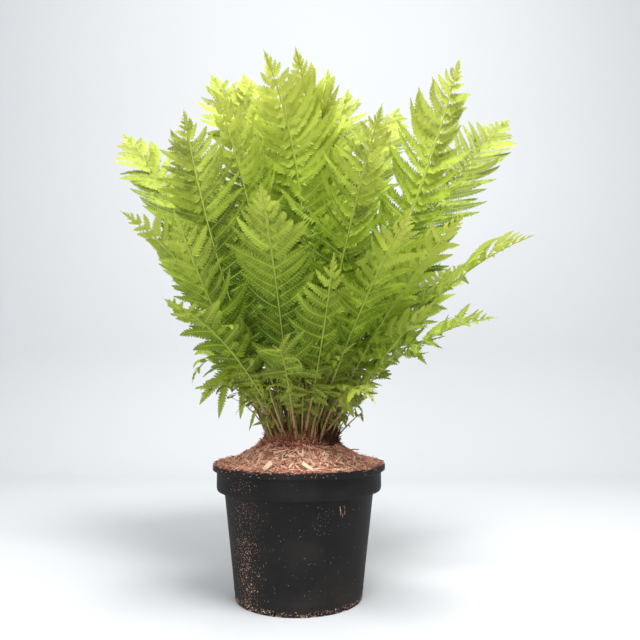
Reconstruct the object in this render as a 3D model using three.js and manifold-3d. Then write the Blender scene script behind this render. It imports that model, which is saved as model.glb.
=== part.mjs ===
// A potted ostrich fern: a ten-litre nursery pot filled with growing medium, a mulch of
// shredded bark, the crown of the fern, and the fronds that stand in holes in the crown.
// Millimetres, Z up. The pot stands on z = 0 about the Z axis and its front looks to -Y.

import * as THREE from "three";
import { mergeVertices } from "three/addons/utils/BufferGeometryUtils.js";
import Module from "manifold-3d";

const wasm = await Module();
wasm.setup();

// Driving dimensions

const FIT = 0.3;               // air between pieces that rest on each other

const POT_HEIGHT = 212;
const POT_SIDES = 32;          // flats round the pot
const LIP_RADIUS = 140;        // outside of the thin top lip
const LIP_THICK = 9;
const LIP_INSIDE = 132;        // mouth of the pot
const BAND_RADIUS = 133.5;     // collar band under the lip
const BAND_FOOT = 170;         // height where the band steps in to the wall
const BAND_STEP = 6;           // height over which the inside of the pot steps in there
const WALL_TOP_RADIUS = 121;
const BASE_RADIUS = 101.5;
const POT_WALL = 2.6;
const BAND_INSIDE = BAND_RADIUS - POT_WALL;
const EDGE_ROUND = 1.5;        // bevel on the pot's edges
const FLOOR_RISE = 7;          // recess under the floor, between centre pad and skirt
const FLOOR_THICK = 3;
const PAD_RADIUS = 62;         // flat centre pad the pot rests on
const NOTCHES = 12;            // drain notches round the skirt
const NOTCH_SIZE = [30, 11, 11];
const NOTCH_TURN = -76;        // bearing of one notch, degrees

const MEDIUM_TOP = 196;        // top of the growing medium
const MULCH_HOLE = 58;         // radius of the hole that the crown fills
const MULCH_FOOT = 126;        // radius where the mulch begins to climb
const MULCH_EDGE = 211;        // its height at the pot wall
const MULCH_RISE = 36;         // how far it climbs to the crown
const MULCH_RINGS = [121, 108, 94, 80, 68];
const MULCH_RELIEF = 2.4;      // how far its surface rises and dips
const CHIPS = 22;              // larger chips of wood lying in the mulch

const CROWN_SIDES = 26;
const CROWN_RADIUS = 66;
const CROWN_SHOULDER = 255;    // height of the crown's shoulder
const CROWN_TOP = 266;
const CROWN_RELIEF = 1.8;
const HOLE_DEPTH = 14;         // how deep a stalk stands in the crown

const STALK_STEPS = 60;        // straight steps that a stalk's line is laid out in
const ARCH = 1.7;              // above 1, a frond bends more towards its tip
const FOOT_END = 12;           // a stalk is straight up to here
const BARE_STALK = 54;         // length of stalk below the first leaflets
const FULL_BLADE = 185;        // leaflets grow to full length over this much of the blade,
const SHORT_BLADE = 0.5;       // or over this share of a short frond
const TWIST_END = 0.45;        // share of the length by which a blade has turned
const TIP_STALK = 8;           // bare end of the stalk beyond the last leaflets
const STALK_FOOT = [2.7, 2.6];     // half width and half thickness of a stalk at its foot
const STALK_BLADE = [2.0, 1.7];    // where the blade begins
const STALK_TIP = [0.8, 0.55];     // and at the tip

const LEAF_THICK = 1;
const LEAF_ANGLE = [80, 50];   // degrees from the stalk, at its foot and at its tip
const LEAF_LIFT = 14;          // degrees that leaflets rise above the blade
const LEAF_CURL = 14;          // how far the outer half turns to the frond's tip
const LEAF_DROOP = 16;         // how far the outer half falls
const LEAF_FILL = 0.4;         // half width of a leaflet as a share of the spacing
const LEAF_CLEAR = 2.1;        // least distance between the middles of two leaflets
const FOOT_PAD = 0.6;          // added to that near a leaflet's thicker foot
const GROUND_CLEAR = 8;        // least distance of a leaflet from crown, mulch and pot
const CELL = 32;               // cells of space in which near leaflets are looked up

// The fronds
// foot: distance and bearing of the foot from the middle of the crown. heading: the bearing
// a stalk leans to. lean: degrees from upright at foot and tip. turn: how far the heading
// turns on the way up. face: how far the blade is turned about its stalk. long, wide: length
// of the frond and of its longest leaflet. pairs: leaflets on each side.

const LAID_FRONDS = [
  // tall ones at the left
  { foot: [44, 212], heading: 222, lean: [25, 11], turn: -3, face: 38, long: 525, wide: 88, pairs: 13 },
  { foot: [50, 160], heading: 156, lean: [23, 43], turn: 2, face: -42, long: 660, wide: 78, pairs: 14 },
  { foot: [36, 190], heading: 193, lean: [18, 24], turn: -1, face: 48, long: 530, wide: 84, pairs: 13 },
  { foot: [20, 184], heading: 186, lean: [8, 20], turn: 0, face: 45, long: 590, wide: 84, pairs: 12 },
  // the highest, in the middle
  { foot: [38, 140], heading: 154, lean: [1, 35], turn: 3, face: -50, long: 685, wide: 88, pairs: 14 },
  { foot: [25, 112], heading: 146, lean: [1, 27], turn: 2, face: -35, long: 675, wide: 88, pairs: 14 },
  { foot: [14, 240], heading: 233, lean: [-9, 35], turn: -4, face: 20, long: 640, wide: 92, pairs: 14 },
  { foot: [12, 50], heading: 58, lean: [12, -26], turn: -7, face: 0, long: 670, wide: 94, pairs: 14 },
  { foot: [22, 5], heading: 50, lean: [0, 10], turn: -1, face: 10, long: 640, wide: 84, pairs: 13 },
  { foot: [38, 64], heading: 63, lean: [6, 25], turn: -4, face: 10, long: 685, wide: 86, pairs: 14 },
  { foot: [40, 44], heading: 40, lean: [8, 37], turn: -2, face: 36, long: 665, wide: 88, pairs: 14 },
  { foot: [34, 300], heading: 303, lean: [18, 29], turn: 1, face: -10, long: 515, wide: 84, pairs: 12 },
  // tall ones at the right
  { foot: [34, 346], heading: 332, lean: [27, 15], turn: 7, face: -40, long: 635, wide: 88, pairs: 14 },
  { foot: [48, 16], heading: 21, lean: [24, 48], turn: -2, face: 55, long: 710, wide: 96, pairs: 14 },
  // low arching ones at the right
  { foot: [53, 356], heading: 359, lean: [33, 69], turn: 5, face: -15, long: 490, wide: 70, pairs: 12 },
  { foot: [54, 28], heading: 30, lean: [37, 60], turn: 1, face: 20, long: 460, wide: 72, pairs: 11 },
  { foot: [54, 318], heading: 321, lean: [45, 88], turn: -3, face: 28, long: 355, wide: 64, pairs: 10 },
  { foot: [46, 331], heading: 326, lean: [30, 50], turn: 0, face: -10, long: 415, wide: 66, pairs: 11 },
  { foot: [55, 343], heading: 338, lean: [34, 50], turn: -1, face: -20, long: 275, wide: 62, pairs: 8 },
  { foot: [59, 308], heading: 307, lean: [26, 140], turn: -2, face: 0, long: 170, wide: 46, pairs: 6 },
  // low arching ones at the left
  { foot: [52, 228], heading: 232, lean: [38, 27], turn: -1, face: 20, long: 385, wide: 72, pairs: 10 },
  { foot: [54, 194], heading: 197, lean: [20, 58], turn: -3, face: 40, long: 435, wide: 62, pairs: 12 },
  { foot: [54, 243], heading: 231, lean: [37, 78], turn: 5, face: 20, long: 320, wide: 52, pairs: 9 },
  { foot: [58, 213], heading: 228, lean: [24, 150], turn: 4, face: 0, long: 190, wide: 48, pairs: 6 },
  // the ones that face the front
  { foot: [44, 258], heading: 259, lean: [24, 50], turn: 4, face: 0, long: 410, wide: 80, pairs: 11 },
  { foot: [53, 281], heading: 288, lean: [33, 20], turn: 0, face: 0, long: 300, wide: 64, pairs: 8 },
  { foot: [47, 300], heading: 305, lean: [32, 48], turn: -4, face: 0, long: 400, wide: 76, pairs: 10 },
  { foot: [56, 266], heading: 260, lean: [34, 100], turn: 10, face: 0, long: 250, wide: 58, pairs: 7 },
  // one more that hangs at the left, and a small one low at the front
  { foot: [53, 204], heading: 214, lean: [0, 170], turn: 0, face: 0, long: 240, wide: 54, pairs: 7 },
  { foot: [55, 292], heading: 304, lean: [20, 74], turn: 0, face: 0, long: 190, wide: 50, pairs: 6 },
];

// The fronds behind, ring by ring from the outside in: their number, the first bearing and
// the step to the next, the distance of the feet, and the rest as above
const BACK_RINGS = [
  { count: 4, from: 60, step: 25, reach: 54, lean: [33, 58], long: 500, wide: 80, pairs: 12 },
  { count: 3, from: 86, step: 20, reach: 43, lean: [19, 42], long: 590, wide: 86, pairs: 13 },
  { count: 1, from: 86, step: 0, reach: 24, lean: [10, 24], long: 610, wide: 86, pairs: 13 },
];

// Small helpers

const radians = (degrees) => degrees * Math.PI / 180;
const mix = (a, b, t) => a + (b - a) * t;
const clamp01 = (t) => Math.min(Math.max(t, 0), 1);
const smooth = (t) => clamp01(t) * clamp01(t) * (3 - 2 * clamp01(t));
const vec = (x, y, z) => new THREE.Vector3(x, y, z);

// a seeded source of draws between 0 and 1
function seeded(seed) {
  let state = seed;
  return () => {
    state = (state + 0x6d2b79f5) >>> 0;
    let mixed = Math.imul(state ^ (state >>> 15), state | 1);
    mixed = (mixed + Math.imul(mixed ^ (mixed >>> 7), mixed | 61)) ^ mixed;
    return ((mixed ^ (mixed >>> 14)) >>> 0) / 4294967296;
  };
}

// directions added up, each with its share
function blend(...pairs) {
  return pairs.reduce((sum, [share, way]) => sum.addScaledVector(way, share), vec(0, 0, 0));
}

function around(radius, bearing, height) {
  return vec(radius * Math.cos(bearing), radius * Math.sin(bearing), height);
}

function named(name, geometry, colour, roughness) {
  const material = new THREE.MeshStandardMaterial({ color: colour, roughness, metalness: 0 });
  const mesh = new THREE.Mesh(geometry, material);
  mesh.name = name;
  return mesh;
}

function group(name, ...children) {
  const whole = new THREE.Group();
  whole.name = name;
  whole.add(...children);
  return whole;
}

function faceted(points, faces) {
  const geometry = new THREE.BufferGeometry();
  const numbers = points.flatMap((point) => point.toArray());
  geometry.setAttribute("position", new THREE.Float32BufferAttribute(numbers, 3));
  geometry.setIndex(faces.flat());
  geometry.computeVertexNormals();
  return geometry;
}

function toSolid(geometry) {
  const bare = geometry.clone();
  bare.deleteAttribute("normal");
  bare.deleteAttribute("uv");
  const merged = mergeVertices(bare);
  return new wasm.Manifold(new wasm.Mesh({
    numProp: 3,
    vertProperties: new Float32Array(merged.attributes.position.array),
    triVerts: new Uint32Array(merged.index.array),
  }));
}

function toGeometry(solid) {
  const { numProp, vertProperties, triVerts } = solid.getMesh();
  const points = [];
  for (let i = 0; i < vertProperties.length; i += numProp) {
    points.push(vec(...vertProperties.slice(i, i + 3)));
  }
  return faceted(points, Array.from(triVerts));
}

// a body turned about Z from [radius, height] corners that run from axis to axis
function turned(corners) {
  const profile = corners.map(([radius, height]) => new THREE.Vector2(radius, height));
  return new THREE.LatheGeometry(profile, POT_SIDES).rotateX(Math.PI / 2);
}

// rows of points round Z, each row joined to the next and the last one to the first
function hoop(rows) {
  const sides = rows[0].length;
  const faces = rows.flatMap((row, k) => {
    const high = (k + 1) % rows.length * sides;
    return joinRows(k * sides, high, sides);
  });
  return faceted(rows.flat(), faces);
}

// the same, but closed by a point below and one above
function mound(rows, below, above) {
  const sides = rows[0].length;
  const faces = rows.slice(1).flatMap((row, k) => joinRows(k * sides, (k + 1) * sides, sides));
  const top = (rows.length - 1) * sides;
  const foot = rows.length * sides;
  for (let i = 0; i < sides; i += 1) {
    const next = (i + 1) % sides;
    faces.push([foot, next, i], [foot + 1, top + i, top + next]);
  }
  return faceted([...rows.flat(), below, above], faces);
}

function joinRows(low, high, sides) {
  return Array.from({ length: sides }, (_, i) => {
    const next = (i + 1) % sides;
    return [[low + i, low + next, high + next], [low + i, high + next, high + i]];
  }).flat();
}

// The pot and what fills it

function wallRadius(height) {
  return mix(BASE_RADIUS, WALL_TOP_RADIUS, height / BAND_FOOT);
}

function nurseryPot() {
  const lipFoot = POT_HEIGHT - LIP_THICK;
  const floorTop = FLOOR_RISE + FLOOR_THICK;
  let pot = toSolid(turned([
    [0, 0],
    [PAD_RADIUS, 0],
    [PAD_RADIUS + FLOOR_THICK, FLOOR_RISE],
    [BASE_RADIUS - POT_WALL - EDGE_ROUND, FLOOR_RISE],
    [BASE_RADIUS - POT_WALL, 0],
    [BASE_RADIUS - EDGE_ROUND / 2, 0],
    [BASE_RADIUS, EDGE_ROUND],
    [WALL_TOP_RADIUS, BAND_FOOT],
    [BAND_RADIUS - EDGE_ROUND, BAND_FOOT + 1],
    [BAND_RADIUS, BAND_FOOT + 1 + EDGE_ROUND],
    [BAND_RADIUS, lipFoot - EDGE_ROUND],
    [LIP_RADIUS - EDGE_ROUND, lipFoot],
    [LIP_RADIUS, lipFoot + EDGE_ROUND],
    [LIP_RADIUS, POT_HEIGHT - EDGE_ROUND],
    [LIP_RADIUS - EDGE_ROUND, POT_HEIGHT],
    [LIP_INSIDE, POT_HEIGHT],
    [BAND_INSIDE, POT_HEIGHT - BAND_STEP],
    [BAND_INSIDE, BAND_FOOT + BAND_STEP],
    [WALL_TOP_RADIUS - POT_WALL, BAND_FOOT],
    [wallRadius(floorTop) - POT_WALL, floorTop],
    [0, floorTop],
  ]));
  for (let i = 0; i < NOTCHES; i += 1) {
    const notch = new THREE.BoxGeometry(...NOTCH_SIZE);
    notch.translate(BASE_RADIUS, 0, 0);
    notch.rotateZ(radians(NOTCH_TURN + i * 360 / NOTCHES));
    pot = pot.subtract(toSolid(notch));
  }
  return named("nursery_pot", toGeometry(pot), "#29292b", 0.42);
}

function growingMedium() {
  const foot = FLOOR_RISE + FLOOR_THICK + FIT;
  const inset = POT_WALL + FIT;
  const body = turned([
    [0, foot],
    [wallRadius(foot) - inset, foot],
    [WALL_TOP_RADIUS - inset, BAND_FOOT + FIT],
    [BAND_INSIDE - FIT, BAND_FOOT + BAND_STEP + FIT],
    [BAND_INSIDE - FIT, MEDIUM_TOP],
    [0, MEDIUM_TOP],
  ]);
  return named("growing_medium", body, "#3b2a20", 0.95);
}

function mulchHeight(radius) {
  const inward = clamp01((MULCH_FOOT - radius) / (MULCH_FOOT - MULCH_HOLE));
  return MULCH_EDGE + MULCH_RISE * Math.pow(inward, 1.25);
}

function woodChip(draw) {
  const bearing = draw() * 2 * Math.PI;
  const radius = mix(80, 112, Math.sqrt(draw()));
  const long = mix(12, 24, draw() * draw());
  const chip = new THREE.BoxGeometry(long, mix(4, 8, draw()), mix(2.2, 3.6, draw()));
  chip.rotateX(radians(mix(-25, 25, draw())));
  chip.rotateY(radians(mix(-16, 16, draw())));
  chip.rotateZ(draw() * Math.PI);
  chip.translate(...around(radius, bearing, mulchHeight(radius)).toArray());
  return toSolid(chip);
}

function barkMulch() {
  const draw = seeded(7);
  const edge = BAND_INSIDE - FIT;
  const hole = MULCH_HOLE + FIT;
  const foot = MEDIUM_TOP + FIT;
  const rough = (size) => mix(-size, size, draw());
  const ring = (place) => Array.from({ length: POT_SIDES }, (_, i) => {
    return place(i / POT_SIDES * 2 * Math.PI);
  });
  const level = (radius, height) => ring((bearing) => around(radius, bearing, height));
  const heaped = (radius) => ring((bearing) => {
    const out = radius + rough(4);
    return around(out, bearing, mulchHeight(radius) + rough(MULCH_RELIEF));
  });
  let mulch = toSolid(hoop([
    level(hole, foot),
    level(edge, foot),
    level(edge, MULCH_EDGE - MULCH_RELIEF),
    ...MULCH_RINGS.map(heaped),
    level(hole, mulchHeight(hole)),
  ]));
  for (let i = 0; i < CHIPS; i += 1) {
    mulch = mulch.add(woodChip(draw));
  }
  return named("bark_mulch", toGeometry(mulch), "#8a5a48", 0.9);
}

// The crown

function crownHeight(radius) {
  return CROWN_TOP - (CROWN_TOP - CROWN_SHOULDER) * Math.pow(radius / CROWN_RADIUS, 3);
}

function crown(lines) {
  const draw = seeded(23);
  const rough = (size) => mix(-size, size, draw());
  const neck = MULCH_HOLE - FIT;
  const foot = MEDIUM_TOP + FIT;
  const ring = (radius, height, relief) => Array.from({ length: CROWN_SIDES }, (_, i) => {
    const bearing = i / CROWN_SIDES * 2 * Math.PI;
    return around(radius + rough(relief), bearing, height + rough(relief) * 0.7);
  });
  let body = toSolid(mound([
    ring(neck, foot, 0),
    ring(neck, mulchHeight(MULCH_HOLE) + 3, 0),
    ring(CROWN_RADIUS - 1, CROWN_SHOULDER - 1, CROWN_RELIEF),
    ring(CROWN_RADIUS - 7, CROWN_SHOULDER + 5, CROWN_RELIEF),
    ring(44, CROWN_TOP - 3, CROWN_RELIEF),
    ring(20, CROWN_TOP, CROWN_RELIEF),
  ], vec(0, 0, foot), vec(0, 0, CROWN_TOP)));
  for (const line of lines) {
    body = body.subtract(toSolid(stalkHole(line)));
  }
  return named("crown", toGeometry(body), "#5a3524", 0.92);
}

// A frond's line: from a foot in the crown, along a lean that changes towards the tip

function layLine(frond) {
  const [reach, bearing] = frond.foot;
  const headingAt = (t) => radians(frond.heading + frond.turn * t);
  const riseAt = (t) => {
    const lean = radians(mix(...frond.lean, Math.pow(t, ARCH)));
    return around(Math.sin(lean), headingAt(t), Math.cos(lean));
  };
  const spots = [around(reach, radians(bearing), crownHeight(reach))];
  for (let k = 0; k < STALK_STEPS; k += 1) {
    const step = riseAt((k + 0.5) / STALK_STEPS).multiplyScalar(frond.long / STALK_STEPS);
    spots.push(spots[k].clone().add(step));
  }
  const spotAt = (along) => {
    const place = along / frond.long * STALK_STEPS;
    const k = Math.min(Math.max(Math.floor(place), 0), STALK_STEPS - 1);
    return spots[k].clone().lerp(spots[k + 1], place - k);
  };
  // rise runs along the stalk, side across the blade, face out of its upper side
  const frameAt = (along) => {
    const t = clamp01(along / frond.long);
    const rise = riseAt(t);
    const level = around(1, headingAt(t) + Math.PI / 2, 0);
    const upper = rise.clone().cross(level);
    const twist = radians(frond.face) * smooth(t / TWIST_END);
    return {
      rise,
      side: blend([Math.cos(twist), level], [Math.sin(twist), upper]),
      face: blend([Math.cos(twist), upper], [-Math.sin(twist), level]),
    };
  };
  return { frond, spotAt, frameAt, leaflets: [] };
}

// half width and half thickness of the stalk at a distance from its foot
function stalkHalf(frond, along) {
  const low = clamp01(along / BARE_STALK);
  const high = clamp01((along - BARE_STALK) / (frond.long - BARE_STALK));
  return [0, 1].map((k) => (along < BARE_STALK
    ? mix(STALK_FOOT[k], STALK_BLADE[k], low)
    : mix(STALK_BLADE[k], STALK_TIP[k], high)));
}

// the corners of a section of the stalk: upper right, upper left, lower left, lower right
function stalkSection(line, along, [wide, thick]) {
  const { side, face } = line.frameAt(along);
  const spot = line.spotAt(along);
  return [[1, 1], [-1, 1], [-1, -1], [1, -1]].map(([x, y]) => {
    return blend([1, spot], [x * wide, side], [y * thick, face]);
  });
}

// what the crown leaves free round the foot of a stalk
function stalkHole(line) {
  const half = STALK_FOOT.map((size) => size + FIT);
  const points = [-HOLE_DEPTH - FIT, FOOT_END].flatMap((along) => {
    return stalkSection(line, along, half);
  });
  const ends = [[0, 2, 1], [0, 3, 2], [4, 5, 6], [4, 6, 7]];
  return faceted(points, [...ends, ...joinRows(0, 4, 4)]);
}

// where the blade's leaflets meet on the stalk
function joints(frond) {
  const end = frond.long - TIP_STALK;
  return Array.from({ length: frond.pairs + 1 }, (_, i) => mix(BARE_STALK, end, i / frond.pairs));
}

// A leaflet

function leafletLength(frond, along) {
  const toTip = clamp01((frond.long - along) / (1.9 * frond.wide));
  const tip = Math.pow(Math.sin(toTip * Math.PI / 2), 1.15);
  const full = Math.min(FULL_BLADE, SHORT_BLADE * frond.long);
  const base = mix(0.16, 1, smooth((along - BARE_STALK + 10) / full));
  return frond.wide * tip * base;
}

// the middle of a leaflet that grows from the stalk between two joints: rear and front at
// the stalk, rear and front half way out, and the tip
function layLeaflet(line, from, to, hand, bend) {
  const { frond } = line;
  const along = (from + to) / 2;
  const { rise, side, face } = line.frameAt(along);
  const out = side.clone().multiplyScalar(hand);
  const long = leafletLength(frond, along) * bend.share;
  const angle = radians(mix(...LEAF_ANGLE, along / frond.long) + bend.sweep);
  const lift = radians(LEAF_LIFT + bend.lift);
  const aim = (turn, raise) => {
    const flat = blend([Math.cos(turn), rise], [Math.sin(turn), out]);
    return blend([Math.cos(raise), flat], [Math.sin(raise), face]);
  };
  const inner = aim(angle, lift);
  const outer = aim(angle - radians(LEAF_CURL), lift - radians(LEAF_DROOP));
  const across = blend([Math.sin(angle), rise], [-Math.cos(angle), out]);
  const normal = across.clone().cross(inner).multiplyScalar(hand).normalize();
  const half = Math.min(LEAF_FILL * (to - from) * Math.sin(angle), 0.22 * long + 1.5);
  const edge = (place) => line.spotAt(place).addScaledVector(out, stalkHalf(frond, place)[0]);
  const middle = blend([1, edge(along)], [0.5 * long, inner]);
  return {
    rear: edge(from),
    front: edge(to),
    midRear: blend([1, middle], [-half, across]),
    midFront: blend([1, middle], [half, across]),
    tip: blend([1, middle], [0.5 * long, outer]),
    normal,
  };
}

// The distance between two triangles, to keep leaflets clear of each other

function segmentGap(p, q, r, s) {
  const a = q.clone().sub(p);
  const b = s.clone().sub(r);
  const w = p.clone().sub(r);
  const [aa, bb, ab, aw, bw] = [a.dot(a), b.dot(b), a.dot(b), a.dot(w), b.dot(w)];
  const spread = aa * bb - ab * ab;
  let u = spread > 1e-9 ? clamp01((ab * bw - bb * aw) / spread) : 0;
  const v = bb > 1e-9 ? clamp01((ab * u + bw) / bb) : 0;
  u = aa > 1e-9 ? clamp01((ab * v - aw) / aa) : 0;
  return blend([1, w], [u, a], [-v, b]).length();
}

// distance of a point from a triangle that it lies over, or Infinity when it lies beside it
function faceGap(point, [first, second, third]) {
  const a = second.clone().sub(first);
  const b = third.clone().sub(first);
  const w = point.clone().sub(first);
  const normal = a.clone().cross(b);
  const area = normal.length();
  if (area < 1e-6) return Infinity;
  const v = a.clone().cross(w).dot(normal) / (area * area);
  const u = w.clone().cross(b).dot(normal) / (area * area);
  return u < 0 || v < 0 || u + v > 1 ? Infinity : Math.abs(w.dot(normal)) / area;
}

function pierces([p, q], triangle) {
  const [first, second, third] = triangle;
  const normal = second.clone().sub(first).cross(third.clone().sub(first));
  const before = p.clone().sub(first).dot(normal);
  const after = q.clone().sub(first).dot(normal);
  if (before * after >= 0) return false;
  return faceGap(p.clone().lerp(q, before / (before - after)), triangle) < 1e-3;
}

function edges([first, second, third]) {
  return [[first, second], [second, third], [third, first]];
}

function triangleGap(one, two) {
  if (edges(one).some((edge) => pierces(edge, two))) return 0;
  if (edges(two).some((edge) => pierces(edge, one))) return 0;
  return Math.min(
    ...one.map((corner) => faceGap(corner, two)),
    ...two.map((corner) => faceGap(corner, one)),
    ...edges(one).flatMap((edge) => edges(two).map((other) => segmentGap(...edge, ...other))),
  );
}

// pieces of surface, found again by the cells of space that they pass through
class Thicket {
  constructor() {
    this.cells = new Map();
  }

  cellsOf(box) {
    const low = box.min.clone().divideScalar(CELL).floor();
    const high = box.max.clone().divideScalar(CELL).floor();
    const found = [];
    for (let x = low.x; x <= high.x; x += 1) {
      for (let y = low.y; y <= high.y; y += 1) {
        for (let z = low.z; z <= high.z; z += 1) {
          const key = `${x} ${y} ${z}`;
          if (!this.cells.has(key)) this.cells.set(key, []);
          found.push(this.cells.get(key));
        }
      }
    }
    return found;
  }

  add(piece) {
    piece.box = new THREE.Box3().setFromPoints(piece.triangle).expandByScalar(piece.half);
    this.cellsOf(piece.box).forEach((cell) => cell.push(piece));
  }

  hasRoomFor(piece) {
    const need = piece.half + LEAF_CLEAR;
    const box = new THREE.Box3().setFromPoints(piece.triangle).expandByScalar(need);
    const near = new Set(this.cellsOf(box).flat());
    return [...near].every((other) => {
      if (!other.box.intersectsBox(box) || mayTouch(piece, other)) return true;
      return triangleGap(piece.triangle, other.triangle) >= need + other.half;
    });
  }
}

// a leaflet may touch its own stalk, and its neighbours on the stalk near their feet
function mayTouch(piece, other) {
  if (piece.line !== other.line) return false;
  if (other.hand === 0) return true;
  if (Math.abs(piece.order - other.order) > 1) return false;
  return !piece.outer || !other.outer || piece.hand !== other.hand;
}

// Bending the leaflets clear

// the ways a leaflet may be bent and shortened, from the least to the most
function bendChoices() {
  const choices = [];
  for (const share of [1, 0.88, 0.76, 0.64, 0.52, 0.4, 0.28, 0.18, 0.1]) {
    for (const lift of [0, 12, -12, 24, -24, 36, -36, 50]) {
      for (const sweep of [0, -9, 9, -18, 18]) {
        const cost = Math.abs(lift) / 12 + Math.abs(sweep) / 12 + (1 - share) * 14;
        choices.push({ share, lift, sweep, cost });
      }
    }
  }
  return choices.sort((one, two) => one.cost - two.cost);
}

function groundHeight(radius) {
  if (radius < CROWN_RADIUS + GROUND_CLEAR) return CROWN_TOP;
  return radius < LIP_RADIUS + GROUND_CLEAR ? mulchHeight(radius) : POT_HEIGHT - 2 * LIP_THICK;
}

function aboveGround(leaf) {
  return [leaf.midRear, leaf.midFront, leaf.tip].every((spot) => {
    return spot.z > groundHeight(Math.hypot(spot.x, spot.y)) + GROUND_CLEAR;
  });
}

function stalkPieces(line) {
  const { frond } = line;
  const cuts = [0, FOOT_END, ...joints(frond), frond.long];
  return cuts.slice(1).map((to, i) => {
    const ends = [line.spotAt(cuts[i]), line.spotAt(to), line.spotAt(to)];
    return { triangle: ends, line, hand: 0, half: Math.hypot(...stalkHalf(frond, cuts[i])) };
  });
}

function leafletPieces(leaf, line, order, hand) {
  const { rear, front, midRear, midFront, tip } = leaf;
  return [
    { triangle: [rear, front, midFront], outer: false, half: FOOT_PAD },
    { triangle: [rear, midFront, midRear], outer: false, half: FOOT_PAD },
    { triangle: [midRear, midFront, tip], outer: true, half: 0 },
  ].map((piece) => ({ ...piece, line, order, hand }));
}

// each leaflet takes the least bend that leaves it clear; one that finds none isn't grown
function growLeaflets(lines) {
  const thicket = new Thicket();
  const choices = bendChoices();
  lines.flatMap(stalkPieces).forEach((piece) => thicket.add(piece));
  const grow = (line, order, hand) => {
    const [from, to] = joints(line.frond).slice(order);
    for (const bend of choices) {
      const leaf = layLeaflet(line, from, to, hand, bend);
      const pieces = leafletPieces(leaf, line, order, hand);
      if (aboveGround(leaf) && pieces.every((piece) => thicket.hasRoomFor(piece))) {
        pieces.forEach((piece) => thicket.add(piece));
        line.leaflets.push({ order, hand, leaf });
        return;
      }
    }
  };
  for (const line of lines) {
    for (let order = line.frond.pairs - 1; order >= 0; order -= 1) {
      grow(line, order, 1);
      grow(line, order, -1);
    }
  }
}

// A frond as one closed skin

// foot: the corners on the stalk, upper rear, lower rear, lower front, upper front
function skinLeaflet(points, leaf, foot, hand) {
  const first = points.length;
  const half = LEAF_THICK / 2;
  points.push(
    blend([1, leaf.midRear], [half, leaf.normal]),
    blend([1, leaf.midRear], [-half, leaf.normal]),
    blend([1, leaf.midFront], [-half, leaf.normal]),
    blend([1, leaf.midFront], [half, leaf.normal]),
    leaf.tip,
  );
  const [upRear, lowRear, lowFront, upFront, tip] = [0, 1, 2, 3, 4].map((k) => first + k);
  const faces = [
    [foot[0], foot[3], upFront], [foot[0], upFront, upRear],
    [foot[1], lowFront, foot[2]], [foot[1], lowRear, lowFront],
    [foot[1], upRear, lowRear], [foot[1], foot[0], upRear],
    [foot[3], lowFront, upFront], [foot[3], foot[2], lowFront],
    [upRear, upFront, tip], [upFront, lowFront, tip],
    [lowFront, lowRear, tip], [lowRear, upRear, tip],
  ];
  return hand > 0 ? faces : faces.map(([a, b, c]) => [a, c, b]);
}

function frondSkin(line) {
  const { frond } = line;
  const cuts = [-HOLE_DEPTH, FOOT_END, ...joints(frond)];
  const points = cuts.flatMap((along) => stalkSection(line, along, stalkHalf(frond, along)));
  const faces = [[0, 2, 1], [0, 3, 2]];
  const flat = (a, b, c, d) => faces.push([a, b, c], [a, c, d]);
  for (let k = 0; k + 1 < cuts.length; k += 1) {
    const [low, high] = [4 * k, 4 * k + 4];
    flat(low, low + 1, high + 1, high);
    flat(low + 2, low + 3, high + 3, high + 2);
    for (const [hand, up, down] of [[1, 0, 3], [-1, 1, 2]]) {
      const grown = line.leaflets.find((one) => one.order === k - 2 && one.hand === hand);
      const foot = [low + up, low + down, high + down, high + up];
      if (grown) {
        faces.push(...skinLeaflet(points, grown.leaf, foot, hand));
      } else if (hand > 0) {
        flat(foot[1], foot[0], foot[3], foot[2]);
      } else {
        flat(...foot);
      }
    }
  }
  const last = 4 * (cuts.length - 1);
  const tip = points.push(line.spotAt(frond.long)) - 1;
  for (let k = 0; k < 4; k += 1) {
    faces.push([last + k, last + (k + 1) % 4, tip]);
  }
  return faceted(points, faces);
}

// The whole plant

function backFronds() {
  const draw = seeded(41);
  const sway = (size) => Math.round(mix(-size, size, draw()));
  return BACK_RINGS.flatMap((ring) => Array.from({ length: ring.count }, (_, i) => {
    const bearing = ring.from + i * ring.step;
    return {
      foot: [ring.reach, bearing],
      heading: bearing + sway(4),
      lean: [ring.lean[0] + sway(2), ring.lean[1] + sway(5)],
      turn: sway(8),
      face: sway(15),
      long: ring.long + 10 * sway(3),
      wide: ring.wide,
      pairs: ring.pairs,
    };
  }));
}

function pottedFern() {
  const lines = [...LAID_FRONDS, ...backFronds()].map(layLine);
  growLeaflets(lines);
  const fronds = lines.map((line, i) => {
    const name = `frond_${String(i + 1).padStart(2, "0")}`;
    return named(name, frondSkin(line), "#7fa632", 0.6);
  });
  const pot = group("pot", nurseryPot(), growingMedium(), barkMulch());
  const fern = group("fern", crown(lines), ...fronds);
  return group("potted_ostrich_fern", pot, fern);
}

export default pottedFern();
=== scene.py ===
import math

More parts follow.
